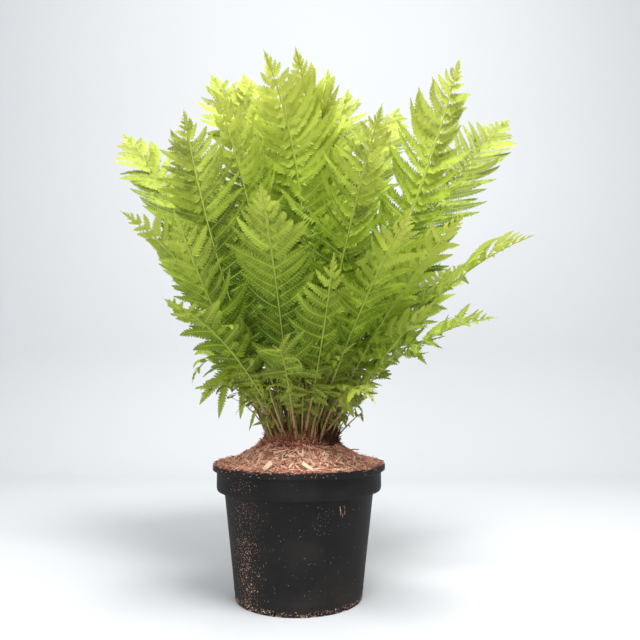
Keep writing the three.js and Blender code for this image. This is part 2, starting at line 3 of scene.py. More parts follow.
import bpy
import numpy as np
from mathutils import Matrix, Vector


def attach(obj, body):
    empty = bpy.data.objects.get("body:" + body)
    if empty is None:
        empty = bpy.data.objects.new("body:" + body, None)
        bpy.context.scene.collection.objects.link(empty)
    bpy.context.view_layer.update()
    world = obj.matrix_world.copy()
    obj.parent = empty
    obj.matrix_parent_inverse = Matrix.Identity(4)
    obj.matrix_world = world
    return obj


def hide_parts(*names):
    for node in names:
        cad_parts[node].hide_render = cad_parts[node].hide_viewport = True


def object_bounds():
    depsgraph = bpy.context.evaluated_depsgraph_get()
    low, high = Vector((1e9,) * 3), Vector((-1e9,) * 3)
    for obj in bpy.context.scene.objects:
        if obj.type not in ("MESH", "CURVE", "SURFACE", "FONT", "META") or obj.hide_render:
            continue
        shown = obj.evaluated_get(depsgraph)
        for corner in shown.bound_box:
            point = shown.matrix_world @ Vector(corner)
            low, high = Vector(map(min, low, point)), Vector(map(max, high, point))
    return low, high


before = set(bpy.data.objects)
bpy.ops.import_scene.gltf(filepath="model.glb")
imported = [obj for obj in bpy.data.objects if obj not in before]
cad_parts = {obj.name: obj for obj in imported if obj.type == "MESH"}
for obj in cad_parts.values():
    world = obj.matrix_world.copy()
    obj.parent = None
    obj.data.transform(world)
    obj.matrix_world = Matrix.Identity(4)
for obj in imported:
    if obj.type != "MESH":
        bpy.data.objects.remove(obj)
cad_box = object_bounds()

# A potted ostrich fern. Each frond is rebuilt leaflet by leaflet on the line of its solid, the
# mulch and the crown get their shreds and fibres, and the pot its rounded mouldings.
# Layout values repeat the part's source, in millimetres; MM turns them to metres.

MM = 0.001
DEGREE = math.pi / 180

# The pot and what fills it

POT_HEIGHT = 212
LIP_RADIUS = 140
LIP_THICK = 9
LIP_INSIDE = 132        # mouth of the pot
BAND_RADIUS = 133.5     # collar band under the lip
BAND_FOOT = 170         # height where the band steps in to the wall
BAND_STEP = 6           # height over which the inside steps in there
WALL_TOP_RADIUS = 121
BASE_RADIUS = 101.5
POT_WALL = 2.6
BAND_INSIDE = BAND_RADIUS - POT_WALL
EDGE_ROUND = 1.5
FLOOR_RISE = 7          # recess under the floor, between centre pad and skirt
FLOOR_THICK = 3
PAD_RADIUS = 62         # centre pad
NOTCHES = 12            # drain notches round the skirt
NOTCH_SIZE = (30, 11, 11)
NOTCH_TURN = -76        # bearing of one notch, degrees

MEDIUM_TOP = 196        # top of the growing medium
MULCH_HOLE = 58         # radius of the hole that the crown fills
MULCH_FOOT = 126        # radius where the mulch begins to climb
MULCH_EDGE = 211        # its height at the pot wall
MULCH_RISE = 36         # how far it climbs to the crown

CROWN_RADIUS = 66
CROWN_SHOULDER = 255    # height of the crown's shoulder
CROWN_TOP = 266
HOLE_DEPTH = 14         # how deep a stalk stands in the crown

# The fronds

STALK_STEPS = 60        # straight steps that a stalk's line is laid out in
ARCH = 1.7              # above 1, a frond bends more towards its tip
BARE_STALK = 54         # length of stalk below the solid's first leaflets
FULL_BLADE = 185        # leaflets grow to full length over this much of the blade,
SHORT_BLADE = 0.5       # or over this share of a short frond
LOWEST_LEAFLET = 0.16   # length of the lowest leaflets, as a share of the longest
TIP_TAPER = 1.9         # a blade tapers over this many times its longest leaflet
TWIST_END = 0.45        # share of the length by which a blade has turned
TIP_STALK = 8           # bare end of the solid's stalk
STALK_FOOT = (2.7, 2.6)     # half width and half thickness of a stalk at its foot,
STALK_BLADE = (2.0, 1.7)    # where the blade begins
STALK_TIP = (0.8, 0.55)     # and at the tip
LEAF_ANGLE = (80, 50)   # degrees from the stalk, at its foot and at its tip
LEAF_LIFT = 14          # degrees that leaflets rise above the blade
LEAF_CURL = 14          # how far the outer half turns to the frond's tip
LEAF_DROOP = 16         # how far the outer half falls

# foot: distance and bearing from the middle of the crown; heading; lean at foot and tip; turn;
# face; length of the frond and of its longest leaflet; leaflets of the solid on each side; and
# how light its leaves are in the photograph, None where that is drawn
# that lightness is each frond's own green with painted light and shade where it stands
LAID_FRONDS = [
    ((44, 212), 222, (25, 11), -3, 38, 525, 88, 13, 0.1),
    ((50, 160), 156, (23, 43), 2, -42, 660, 78, 14, 0.1),
    ((36, 190), 193, (18, 24), -1, 48, 530, 84, 13, -0.3),
    ((20, 184), 186, (8, 20), 0, 45, 590, 84, 12, 0.9),
    ((38, 140), 154, (1, 35), 3, -50, 685, 88, 14, 0.4),
    ((25, 112), 146, (1, 27), 2, -35, 675, 88, 14, 1.2),
    ((14, 240), 233, (-9, 35), -4, 20, 640, 92, 14, 1.4),
    ((12, 50), 58, (12, -26), -7, 0, 670, 94, 14, 1.4),
    ((22, 5), 50, (0, 10), -1, 10, 640, 84, 13, 0.8),
    ((38, 64), 63, (6, 25), -4, 10, 685, 86, 14, -0.1),
    ((40, 44), 40, (8, 37), -2, 36, 665, 88, 14, -0.2),
    ((34, 300), 303, (18, 29), 1, -10, 515, 84, 12, 0.5),
    ((34, 346), 332, (27, 15), 7, -40, 635, 88, 14, 0.8),
    ((48, 16), 21, (24, 48), -2, 55, 710, 96, 14, -0.5),
    ((53, 356), 359, (33, 69), 5, -15, 490, 70, 12, 0.8),
    ((54, 28), 30, (37, 60), 1, 20, 460, 72, 11, 1.2),
    ((54, 318), 321, (45, 88), -3, 28, 355, 64, 10, -0.4),
    ((46, 331), 326, (30, 50), 0, -10, 415, 66, 11, 1.9),
    ((55, 343), 338, (34, 50), -1, -20, 275, 62, 8, 2.2),
    ((59, 308), 307, (26, 140), -2, 0, 170, 46, 6, 2.4),
    ((52, 228), 232, (38, 27), -1, 20, 385, 72, 10, 0.8),
    ((54, 194), 197, (20, 58), -3, 40, 435, 62, 12, 1.6),
    ((54, 243), 231, (37, 78), 5, 20, 320, 52, 9, 1.8),
    ((58, 213), 228, (24, 150), 4, 0, 190, 48, 6, 2.4),
    ((44, 258), 259, (24, 50), 4, 0, 410, 80, 11, None),
    ((53, 281), 288, (33, 20), 0, 0, 300, 64, 8, 1.7),
    ((47, 300), 305, (32, 48), -4, 0, 400, 76, 10, 1.1),
    ((56, 266), 260, (34, 100), 10, 0, 250, 58, 7, 1.4),
    ((53, 204), 214, (0, 170), 0, 0, 240, 54, 7, 2.2),
    ((55, 292), 304, (20, 74), 0, 0, 190, 50, 6, 1.8),
]
# count, first bearing, step, reach of the feet, lean, length, leaflet length, leaflets
BACK_RINGS = [
    (4, 60, 25, 54, (33, 58), 500, 80, 12),
    (3, 86, 20, 43, (19, 42), 590, 86, 13),
    (1, 86, 0, 24, (10, 24), 610, 86, 13),
]


# Small helpers

def mix(a, b, t):
    return a + (b - a) * t


def clamp01(t):
    return np.clip(t, 0.0, 1.0)


def ramp(value, start, end):
    """Climbs smoothly from 0 at start to 1 at end."""
    t = clamp01((value - start) / (end - start))
    return t ** 2 * (3 - 2 * t)


def unit(vectors):
    return vectors / np.linalg.norm(vectors, axis=-1, keepdims=True)


def columns(*parts):
    """Rows with these columns, each of which is one number or one for each row."""
    return np.stack(np.broadcast_arrays(*parts), axis=-1).astype(float)


def around(radius, bearing, height):
    """Points at a distance and bearing (radians) from the Z axis."""
    return columns(radius * np.cos(bearing), radius * np.sin(bearing), height)


def turned(first, second, angle):
    """Two square directions after a turn of the first towards the second."""
    return (np.cos(angle) * first + np.sin(angle) * second,
            np.cos(angle) * second - np.sin(angle) * first)


def linear(hex_colour):
    """An sRGB hex colour as the linear colour that a shader takes."""
    parts = [int(hex_colour[i:i + 2], 16) / 255 for i in (1, 3, 5)]
    return [c / 12.92 if c <= 0.04045 else ((c + 0.055) / 1.055) ** 2.4 for c in parts] + [1.0]


def draws(seed):
    return np.random.default_rng(seed)


def source_draws(seed):
    """The seeded draws of the part's source."""
    state = seed
    while True:
        state = (state + 0x6D2B79F5) & 0xFFFFFFFF
        mixed = (state ^ (state >> 15)) * (state | 1) & 0xFFFFFFFF
        mixed ^= (mixed + (mixed ^ (mixed >> 7)) * (mixed | 61)) & 0xFFFFFFFF
        yield (mixed ^ (mixed >> 14)) / 4294967296


def add_piece(name, points, faces, materials, replaces=(), chosen=None, growth=None,
              lobe=None, smooth_faces=True):
    """A mesh from points in millimetres, which rides on the one body of the part.

    growth is (age, tone, place) of the whole piece or of each point, for the materials to read.
    """
    mesh = bpy.data.meshes.new(name)
    mesh.from_pydata((np.asarray(points) * MM).tolist(), [], faces)
    for material in materials:
        mesh.materials.append(material)
    if chosen is not None:
        mesh.polygons.foreach_set("material_index", chosen)
    if growth is not None:
        kept = mesh.attributes.new("growth", "FLOAT_VECTOR", "POINT")
        values = np.broadcast_to(growth, (len(points), 3))
        kept.data.foreach_set("vector", values.astype(np.float32).ravel())
    if lobe is not None:
        mesh.uv_layers.new(name="lobe").data.foreach_set("uv", np.asarray(lobe).ravel())
    if smooth_faces:
        mesh.shade_smooth()
    piece = bpy.data.objects.new(name, mesh)
    bpy.context.scene.collection.objects.link(piece)
    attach(piece, "root")
    for node in replaces:
        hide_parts(node)
    return piece


def put(tree, kind, sockets=(), **settings):
    """Adds a node: sockets are (name, a value, or the node or output that feeds it)."""
    node = tree.nodes.new("ShaderNode" + kind)
    for name, value in settings.items():
        setattr(node, name, value)
    for name, value in sockets:
        if isinstance(name, str):
            socket = next(s for s in node.inputs if s.enabled and s.name == name)
        else:
            socket = node.inputs[name]
        if isinstance(value, bpy.types.Node):
            value = next(s for s in value.outputs if s.enabled)
        if isinstance(value, bpy.types.NodeSocket):
            tree.links.new(value, socket)
        else:
            socket.default_value = value
    return node


def new_material(name):
    material = bpy.data.materials.new(name)
    material.use_nodes = True
    material.node_tree.nodes.clear()
    return material, material.node_tree


# The lines of the fronds

class Frond:
    """A frond of the part's source: its stalk's line, its blade's frame and its leaflets' law."""

    def __init__(self, name, foot, heading, lean, turn, face, long, wide, pairs, shade=None):
        self.name = name
        self.shade = shade
        self.heading = heading
        self.lean = lean
        self.turn = turn
        self.face = face
        self.long = long
        self.wide = wide
        self.pairs = pairs
        reach, bearing = foot
        start = around(reach, bearing * DEGREE, crown_height(reach))
        middles = (np.arange(STALK_STEPS) + 0.5) / STALK_STEPS
        steps = self.rise(middles) * long / STALK_STEPS
        self.spots = np.vstack([start, start + np.cumsum(steps, axis=0)])

    def rise(self, t):
        lean = mix(*self.lean, np.power(t, ARCH)) * DEGREE
        heading = (self.heading + self.turn * t) * DEGREE
        return around(np.sin(lean), heading, np.cos(lean))

    def spot(self, along):
        place = np.asarray(along) / self.long * STALK_STEPS
        k = np.clip(np.floor(place), 0, STALK_STEPS - 1).astype(int)
        share = (place - k)[..., None]
        return mix(self.spots[k], self.spots[k + 1], share)

    def frame(self, along):
        """rise runs along the stalk, side across the blade, face out of its upper side."""
        t = clamp01(np.asarray(along) / self.long)
        rise = self.rise(t)
        level = around(1.0, (self.heading + self.turn * t + 90) * DEGREE, 0 * t)
        upper = np.cross(rise, level)
        twist = self.face * DEGREE * ramp(t, 0, TWIST_END)
        return rise, *turned(level, upper, twist[..., None])

    def stalk_half(self, along):
        """Half width and half thickness of the stalk."""
        low = clamp01(along / BARE_STALK)
        high = clamp01((along - BARE_STALK) / (self.long - BARE_STALK))
        return [np.where(along < BARE_STALK, mix(foot, blade, low), mix(blade, tip, high))
                for foot, blade, tip in zip(STALK_FOOT, STALK_BLADE, STALK_TIP)]

    def leaflet_length(self, along):
        to_tip = clamp01((self.long - along) / (TIP_TAPER * self.wide))
        tip = np.sin(to_tip * math.pi / 2) ** 1.15
        start = BARE_STALK - 10
        full = start + min(FULL_BLADE, SHORT_BLADE * self.long)
        return self.wide * tip * mix(LOWEST_LEAFLET, 1, ramp(along, start, full))

    def joints(self):
        return np.linspace(BARE_STALK, self.long - TIP_STALK, self.pairs + 1)


def crown_height(radius):
    return CROWN_TOP - (CROWN_TOP - CROWN_SHOULDER) * (radius / CROWN_RADIUS) ** 3


def mulch_height(radius):
    inward = clamp01((MULCH_FOOT - radius) / (MULCH_FOOT - MULCH_HOLE))
    return MULCH_EDGE + MULCH_RISE * inward ** 1.25


def back_rows():
    """The fronds at the back, each nudged by whole numbers as the source does."""
    source = source_draws(41)

    def nudge(size):
        return math.floor(mix(-size, size, next(source)) + 0.5)

    rows = []
    for count, first, step, reach, lean, long, wide, pairs in BACK_RINGS:
        for i in range(count):
            bearing = first + i * step
            heading = bearing + nudge(4)
            leans = (lean[0] + nudge(2), lean[1] + nudge(5))
            turn = nudge(8)
            face = nudge(15)
            length = long + 10 * nudge(3)
            rows.append(((reach, bearing), heading, leans, turn, face, length, wide, pairs))
    return rows


def all_fronds():
    return [Frond(f"frond_{i + 1:02d}", *row) for i, row in enumerate(LAID_FRONDS + back_rows())]


# How the source bent each leaflet clear, found again from the tips of the solid

SAME_SPOT = 0.05                # millimetres between a leaflet's tip and the solid's at most
UNFOUND_BEND = (0.1, 0, 0)      # a leaflet that the solid leaves out stays very short


def bend_choices():
    """The source's choices of share, lift and sweep, from the least bent to the most."""
    choices = [(share, lift, sweep)
               for share in (1, 0.88, 0.76, 0.64, 0.52, 0.4, 0.28, 0.18, 0.1)
               for lift in (0, 12, -12, 24, -24, 36, -36, 50)
               for sweep in (0, -9, 9, -18, 18)]
    return np.array(sorted(choices, key=lambda c: (abs(c[1]) + abs(c[2])) / 12 + (1 - c[0]) * 14))


def aim(rise, out, face, angle, lift):
    """The direction that leaves the stalk at an angle and rises above the blade."""
    angle, lift = angle[..., None], lift[..., None]
    return np.cos(lift) * (np.cos(angle) * rise + np.sin(angle) * out) + np.sin(lift) * face


def find_bends(frond, hand):
    """Share, lift and sweep of the solid's leaflets on one side, and where they grow."""
    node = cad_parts[frond.name].data
    corners = np.array([vertex.co for vertex in node.vertices]) / MM
    choices = bend_choices()
    joints = frond.joints()
    places = (joints[:-1] + joints[1:]) / 2
    found = []
    for along in places:
        rise, side, face = frond.frame(along)
        angle = (mix(*LEAF_ANGLE, along / frond.long) + choices[:, 2]) * DEGREE
        lift = (LEAF_LIFT + choices[:, 1]) * DEGREE
        inner = aim(rise, hand * side, face, angle, lift)
        outer = aim(rise, hand * side, face, angle - LEAF_CURL * DEGREE, lift - LEAF_DROOP * DEGREE)
        reach = frond.leaflet_length(along) * choices[:, :1] / 2
        root = frond.spot(along) + hand * side * frond.stalk_half(along)[0]
        tips = root + reach * (inner + outer)
        near = np.linalg.norm(tips[:, None] - corners[None], axis=-1).min(axis=1) < SAME_SPOT
        found.append(choices[np.argmax(near)] if near.any() else UNFOUND_BEND)
    return places, np.array(found)


# A leaflet of a frond: a midrib with oblong lobes on both sides

LOBE_PITCH = 4.6        # millimetres between lobes on a full leaflet
FEWEST_LOBES = 3
MOST_LOBES = 24
LOBE_SLANT = 24 * DEGREE
WEB = 0.4               # share of a leaflet's half width that its lobes have in common
LOBE_EDGE = [(0.14, 0.72), (0.62, 1.0), (0.93, 0.8)]    # a lobe's rear, tip and front
SIDE_RISE = 0.36        # how steeply a leaflet's sides rise from its midrib
LOBE_HANG = 0.6         # and how much its lobes fall away from there
CURVE_STEPS = 20        # straight steps that a leaflet's midrib is laid out in


def lobe_grid(lobes):
    """Places of a leaflet's points, u along it and v across it, its faces, and their lobe UV."""
    rows = np.arange(lobes + 1) / (lobes + 0.6)
    step = rows[1]
    apex = lobes + 1
    places = [(u, 0.0) for u in rows] + [(1.0, 0.0)]
    faces = []
    uvs = []
    for side in (1, -1):
        web = len(places)
        outer = web + lobes + 1
        places += [(u + 0.04 * step, side * WEB) for u in rows]
        places += [(u + ahead * step, side * out) for u in rows[:-1] for ahead, out in LOBE_EDGE]
        for i in range(lobes):
            rear, tip, front = outer + 3 * i, outer + 3 * i + 1, outer + 3 * i + 2
            strip = [i, i + 1, web + i + 1, web + i]
            lobe = [web + i, web + i + 1, front, tip, rear]
            faces += [strip[::side], lobe[::side]]
            uvs += [[(0, 0), (1, 0), (1, WEB), (0, WEB)][::side],
                    [(0, WEB), (1, WEB), *LOBE_EDGE[::-1]][::side]]
        faces.append([lobes, apex, web + lobes][::side])
        uvs.append([(0.5, 0), (0.5, 0), (0.5, WEB)][::side])
    return np.array(places), faces, uvs


GRIDS = {lobes: lobe_grid(lobes) for lobes in range(FEWEST_LOBES, MOST_LOBES + 1)}


class Skin:
    """Points and faces of one piece, gathered part by part."""

    def __init__(self):
        self.points = []
        self.growth = []
        self.faces = []
        self.chosen = []
        self.lobe = []
        self.count = 0

    def add(self, points, faces, growth, slot=0, uvs=None):
        self.points.append(points)
        self.growth.append(np.broadcast_to(growth, (len(points), 3)))
        self.faces += [[corner + self.count for corner in face] for face in faces]
        self.chosen += [slot] * len(faces)
        self.lobe += uvs if uvs else [[(0.0, 0.0)] * len(face) for face in faces]
        self.count += len(points)

    def piece(self, name, materials, slot, replaces=(), smooth_faces=True):
        uvs = [value for face in self.lobe for corner in face for value in corner]
        return add_piece(name, np.vstack(self.points), self.faces, materials, replaces,
                         self.chosen, np.vstack(self.growth), uvs, smooth_faces)


BOX_MARGIN = 0.4        # millimetres that the leaves stay inside the box of the solids


def keep_inside(points):
    """Points that would leave the box of the solids are brought back to its side."""
    low, high = [np.array(corner) / MM for corner in cad_box]
    return np.clip(points, low + BOX_MARGIN, high - BOX_MARGIN)


def leaflet_width(u):
    """Half width of a leaflet along its length: widest near its foot, with a short point."""
    return mix(1.3, 1.0, ramp(u, 0, 0.2)) * (1 - u ** 2.5)


def lay_leaflet(skin, draw, midrib, tangent, across, normal, long, half, age, tone, flip):
    """One leaflet on the curve of its midrib; its two sides are raised and their lobes hang."""
    lobes = int(np.clip(round(long / LOBE_PITCH), FEWEST_LOBES, MOST_LOBES))
    grid, faces, uvs = GRIDS[lobes]
    along, over = grid.T
    far = np.abs(over)
    k = np.minimum((along * CURVE_STEPS).astype(int), CURVE_STEPS - 1)
    part = (along * CURVE_STEPS - k)[:, None]
    reach = half * leaflet_width(along) * draw.uniform(0.88, 1.08, len(along))
    sideways = over[:, None] * math.cos(LOBE_SLANT) * across[k]
    forward = far[:, None] * math.sin(LOBE_SLANT) * tangent[k]
    fold = SIDE_RISE * far - LOBE_HANG * np.clip(far - WEB, 0, 1)
    ripple = draw.normal(0, 0.1, len(along)) * (far > 0.5)
    upward = (fold + ripple)[:, None] * normal[k]
    points = mix(midrib[k], midrib[k + 1], part) + reach[:, None] * (sideways + forward + upward)
    tones = tone + draw.normal(0, 0.14, len(along))
    skin.add(keep_inside(points), [face[::flip] for face in faces], columns(age, tones, far), 1,
             [corners[::flip] for corners in uvs])


# How leaflets grow along a stalk

LOWEST_PITCH = 7        # millimetres between leaflets low on a stalk,
FULL_PITCH = 16         # between full ones
TIP_PITCH = 3.8         # and at the tip
WANDER_PITCH = 55       # between slow changes in how they lie
# how they sway, in degrees: slowly along the stalk, from one to the next, and where they are loose
SWAY = {"angle": (5, 4, 14), "lift": (11, 7, 20), "curl": (10, 8, 12), "droop": (12, 12, 16),
        "roll": (12, 14, 25)}
LIGHT_SIDE = unit(np.array([0.15, -0.9, 0.35]))
LIGHT_PULL = 0.6        # share of the way that a leaflet turns to the light
MOST_TURN = 0.7         # radians that it can turn so
MOST_ROLL = 0.55        # and that it is rolled in the end, unless it is loose


def leaflet_places(frond, draw):
    """Where leaflets grow: stunted ones low down, then full spacing, and closer at the tip."""
    places = []
    along = 44 + 18 * draw.random()
    while along < frond.long - 7:
        places.append(along)
        pitch = mix(LOWEST_PITCH, FULL_PITCH, ramp(along, 70, 160))
        pitch = mix(TIP_PITCH, pitch, ramp(frond.long - along, 0, 0.95 * frond.wide))
        along += pitch * mix(0.93, 1.07, draw.random())
    return np.array(places)


def sway(draw, places, loose, kind):
    """Random turns of leaflets, in part slow, so that those next to each other lie alike."""
    slow, quick, wild = SWAY[kind]
    knots = np.arange(0, places[-1] + 2 * WANDER_PITCH, WANDER_PITCH)
    wander = np.interp(places, knots, draw.normal(0, slow, len(knots)))
    return wander + draw.normal(0, quick + wild * loose)


def leaflet_habit(frond, draw, places, bends, fill):
    """How loose each leaflet is, its size, the angles along its midrib in radians, and its roll."""
    share, lift, sweep = bends
    # the stunted leaflets low on a stalk stand every way and hang, and so do many deep in the
    # clump; the rest keep to the blade, and those at its tip close up to a spear
    deep = ramp(frond.spot(places)[:, 2], 450, 320) * (1 - ramp(places, 200, 350))
    loose = np.maximum(1 - ramp(places, 50, 170), 0.5 * deep)
    spear = 1 - ramp(frond.long - places, 0, 75)
    calm = 1 - 0.4 * ramp(places, 250, 450)
    long = frond.leaflet_length(places) * share * draw.uniform(0.86, 1.06, len(places))
    long *= (1 + loose * draw.uniform(-0.2, 1.1, len(places))) * (1 - 0.3 * spear)
    angle = mix(*LEAF_ANGLE, places / frond.long) + sweep - 14 * spear
    angle += sway(draw, places, loose, "angle")
    raised = LEAF_LIFT + lift - 16 * loose + sway(draw, places, loose, "lift") * calm
    curl = LEAF_CURL + sway(draw, places, loose, "curl")
    droop = LEAF_DROOP + 14 * loose + sway(draw, places, loose, "droop") * calm
    roll = sway(draw, places, loose, "roll") * calm * (1 - 0.7 * spear) * DEGREE
    pitch = np.maximum(np.gradient(places), 12 * loose + 8 * spear)
    half = np.minimum(fill * pitch * np.sin(angle * DEGREE), 0.2 * long + 0.8)
    u = (np.arange(CURVE_STEPS) + 0.5) / CURVE_STEPS
    angles = (angle[:, None] - curl[:, None] * (2 * u - 0.5)) * DEGREE
    lifts = (raised[:, None] - droop[:, None] * (2 * u - 0.5)) * DEGREE
    return loose, long, half, angles, lifts, roll


def turn_to_light(roll, normal, across, loose):
    """The roll of leaflets after each has turned part of the way to the light from the front."""
    facing, aside = [way[:, CURVE_STEPS // 2] @ LIGHT_SIDE for way in (normal, across)]
    to_light = np.arctan2(-np.sign(facing) * aside, np.abs(facing))
    roll = roll + LIGHT_PULL * (1 - loose) * np.clip(to_light, -MOST_TURN, MOST_TURN)
    return np.clip(roll, -MOST_ROLL - loose, MOST_ROLL + loose)


def grow_leaflets(frond, skin, draw, hand, fill, shade):
    bend_places, bends = find_bends(frond, hand)
    places = leaflet_places(frond, draw)
    bends = [np.interp(places, bend_places, column) for column in bends.T]
    loose, long, half, angles, lifts, roll = leaflet_habit(frond, draw, places, bends, fill)
    rise, side, face = frond.frame(places)
    swung = draw.normal(0, 45 * loose) * DEGREE
    out, face = turned(hand * side, face, swung[:, None])

    tangent = aim(rise[:, None], out[:, None], face[:, None], angles, lifts)
    steps = tangent * long[:, None, None] / CURVE_STEPS
    root = frond.spot(places) + out * frond.stalk_half(places)[0][:, None] * 0.4
    midribs = root[:, None] + np.concatenate([0 * steps[:, :1], np.cumsum(steps, axis=1)], axis=1)
    across = np.sin(angles)[..., None] * rise[:, None] - np.cos(angles)[..., None] * out[:, None]
    normal = unit(np.cross(across, tangent) * hand)
    roll = turn_to_light(roll, normal, across, loose)
    across, normal = turned(across, normal, roll[:, None, None])
    for i, place in enumerate(places):
        tone = mix(shade, draw.random(), 0.6)
        lay_leaflet(skin, draw, midribs[i], tangent[i], across[i], normal[i], long[i], half[i],
                    place / frond.long, tone, -hand)


# Stalks and what grows on them besides leaflets

# right half of a stalk's section, in halves of its width and thickness: a groove runs up the
# middle of its upper side
STALK_HALF_RING = [(0.45, 0.92), (0.9, 0.55), (1.0, 0.0), (0.7, -0.72), (0.0, -1.0)]
STALK_RING = [(0.0, 0.5)] + STALK_HALF_RING + [(-x, y) for x, y in STALK_HALF_RING[-2::-1]]
STALK_SLIM = (0.85, 0.66)   # share of the solid's width at the foot, and from STALK_SLIM_END on
STALK_SLIM_END = 160
WING_START = 150            # the stalk is bare of wings below this
WING_STEP = 4.0
TIP_LONG = 36.0
TIP_HALF = 5.0              # half width of the lobed end of a blade
CHAFF_SCALES = 18
CHAFF_TOP = 44              # scales cling to the stalk up to this height


def grow_stalk(frond, skin, draw):
    along = np.concatenate([np.linspace(-HOLE_DEPTH, 0, 3), np.linspace(6, frond.long, 62)])
    rise, side, face = frond.frame(along)
    slim = mix(*STALK_SLIM, ramp(along, 0, STALK_SLIM_END))
    wide, thick = [size * slim for size in frond.stalk_half(np.maximum(along, 0))]
    spots = frond.spot(along)
    rings = [spots + x * wide[:, None] * side + y * thick[:, None] * face for x, y in STALK_RING]
    points = keep_inside(np.stack(rings, axis=1).reshape(-1, 3))
    sides = len(STALK_RING)
    growth = columns(along / frond.long, draw.random(), along / 100)
    skin.add(points, tube_faces(len(along), sides), np.repeat(growth, sides, 0))


def tube_faces(rows, sides):
    """Faces of a tube with closed ends, from rows of points that run clockwise round it."""
    faces = []
    for row in range(rows - 1):
        low, high = row * sides, (row + 1) * sides
        for i in range(sides):
            after = (i + 1) % sides
            faces.append([low + after, low + i, high + i, high + after])
    faces.append(list(range(sides)))
    faces.append(list(range((rows - 1) * sides, rows * sides))[::-1])
    return faces


def grow_wings(frond, skin, draw, shade):
    """The bases of the leaflets, which run together along both sides of the stalk."""
    along = np.arange(WING_START, frond.long - 16, WING_STEP)
    rise, side, face = frond.frame(along)
    spots = frond.spot(along)
    half = frond.stalk_half(along)[0]
    faces = [[2 * k, 2 * k + 1, 2 * k + 3, 2 * k + 2] for k in range(len(along) - 1)]
    for hand in (1, -1):
        wide = draw.uniform(0.4, 3.4, len(along)) * clamp01((frond.long - along) / 90)
        inner = spots + hand * (0.3 * half)[:, None] * side
        outer = spots + hand * (0.6 * half + wide)[:, None] * side + 0.3 * wide[:, None] * face
        points = np.stack([inner, outer], axis=1).reshape(-1, 3)
        growth = columns(along / frond.long, mix(shade, draw.random(len(along)), 0.5), 0.5)
        skin.add(keep_inside(points), [corners[::-hand] for corners in faces],
                 np.repeat(growth, 2, 0), 1)


def grow_tip(frond, skin, shade):
    """The lobed end of the blade, which runs on from the stalk."""
    grid, faces, uvs = GRIDS[9]
    u, over = grid[:, :1], grid[:, 1:]
    along = frond.long - TIP_LONG + grid[:, 0] * TIP_LONG
    rise, side, face = frond.frame(along)
    reach = TIP_HALF * (1 - u) ** 0.8
    points = frond.spot(along) + reach * (over * side + 0.5 * np.abs(over) * rise)
    growth = columns(along / frond.long, shade, np.abs(grid[:, 1]))
    skin.add(keep_inside(points), faces, growth, 1, uvs)


def grow_chaff(frond, skin, draw):
    """Papery brown scales that cling to the foot of a stalk."""
    places = draw.uniform(-1, CHAFF_TOP, CHAFF_SCALES)
    rise, side, face = frond.frame(places)
    spots = frond.spot(places)
    wide, thick = frond.stalk_half(np.maximum(places, 0))
    for i in range(len(places)):
        turn = draw.uniform(0, 2 * math.pi)
        away = math.cos(turn) * side[i] + math.sin(turn) * face[i]
        root = spots[i] + math.cos(turn) * wide[i] * side[i] + math.sin(turn) * thick[i] * face[i]
        heading = unit(rise[i] + draw.uniform(0.1, 0.6) * away)
        long = draw.uniform(4, 11)
        skin.add(*lay_strip(root + heading * long * 0.45, heading, away, long,
                            draw.uniform(1.0, 2.2), 0.2, draw.uniform(-1, 0.4)),
                 (0.5, draw.uniform(0.2, 0.9), 0.0), 2)


def grow_frond(frond, number, materials):
    draw = draws(100 + number)
    # half width of its leaflets as a share of their spacing: long and short fronds are fuller
    fill = draw.uniform(0.62, 0.76) + 0.12 * (frond.long > 600) + 0.2 * (frond.long < 300)
    drawn_shade = draw.random()
    shade = drawn_shade if frond.shade is None else frond.shade
    skin = Skin()
    grow_stalk(frond, skin, draw)
    grow_leaflets(frond, skin, draw, 1, fill, shade)
    grow_leaflets(frond, skin, draw, -1, fill, shade)
    grow_wings(frond, skin, draw, shade)
    grow_tip(frond, skin, shade)
    grow_chaff(frond, skin, draw)
    return skin.piece(f"fern_{frond.name}", materials, "frond", [frond.name])


# The crown: a mound of old stalk bases and fibres

SEAT = 0.6                  # air under crown and mulch, and round the crown in its hole
OLD_CLUMP_BEARING = -26     # degrees: where the dark, hairy clump of dead stalks stands
OLD_STUBS = 30              # stalk bases of that clump, after those that stand all round
STUBS = 90
OLD_FIBRES = 900            # fibres of that clump, before those that stand all round
FIBRES = 3400


def crown_top(radius):
    """The crown's upper side with its shoulder worn round."""
    return crown_height(radius) - 12 * ramp(radius, 44, CROWN_RADIUS)


def crown_mound(material):
    draw = draws(31)
    sides = 96
    bearing = np.linspace(0, 2 * math.pi, sides, endpoint=False)
    hole = MULCH_HOLE - SEAT
    in_hole = [(hole, MEDIUM_TOP + SEAT), (hole, 232), (hole, 244)]
    above = [(60, 245), (61, 246)] + [(r, crown_top(r) - 1.6) for r in np.linspace(59, 3, 25)]
    profile = in_hole + above
    points = []
    for row, (radius, height) in enumerate(profile):
        rough = 0 if row < len(in_hole) else 1
        out = radius + draw.normal(0, 0.65 * rough, sides)
        points.append(around(out, bearing, height + draw.normal(0, 0.91 * rough, sides)))
    faces = [face[::-1] for face in tube_faces(len(profile), sides)]
    return add_piece("crown_mound", np.vstack(points), faces, [material], ["crown"],
                     growth=(0.0, 0.4, 0.0))


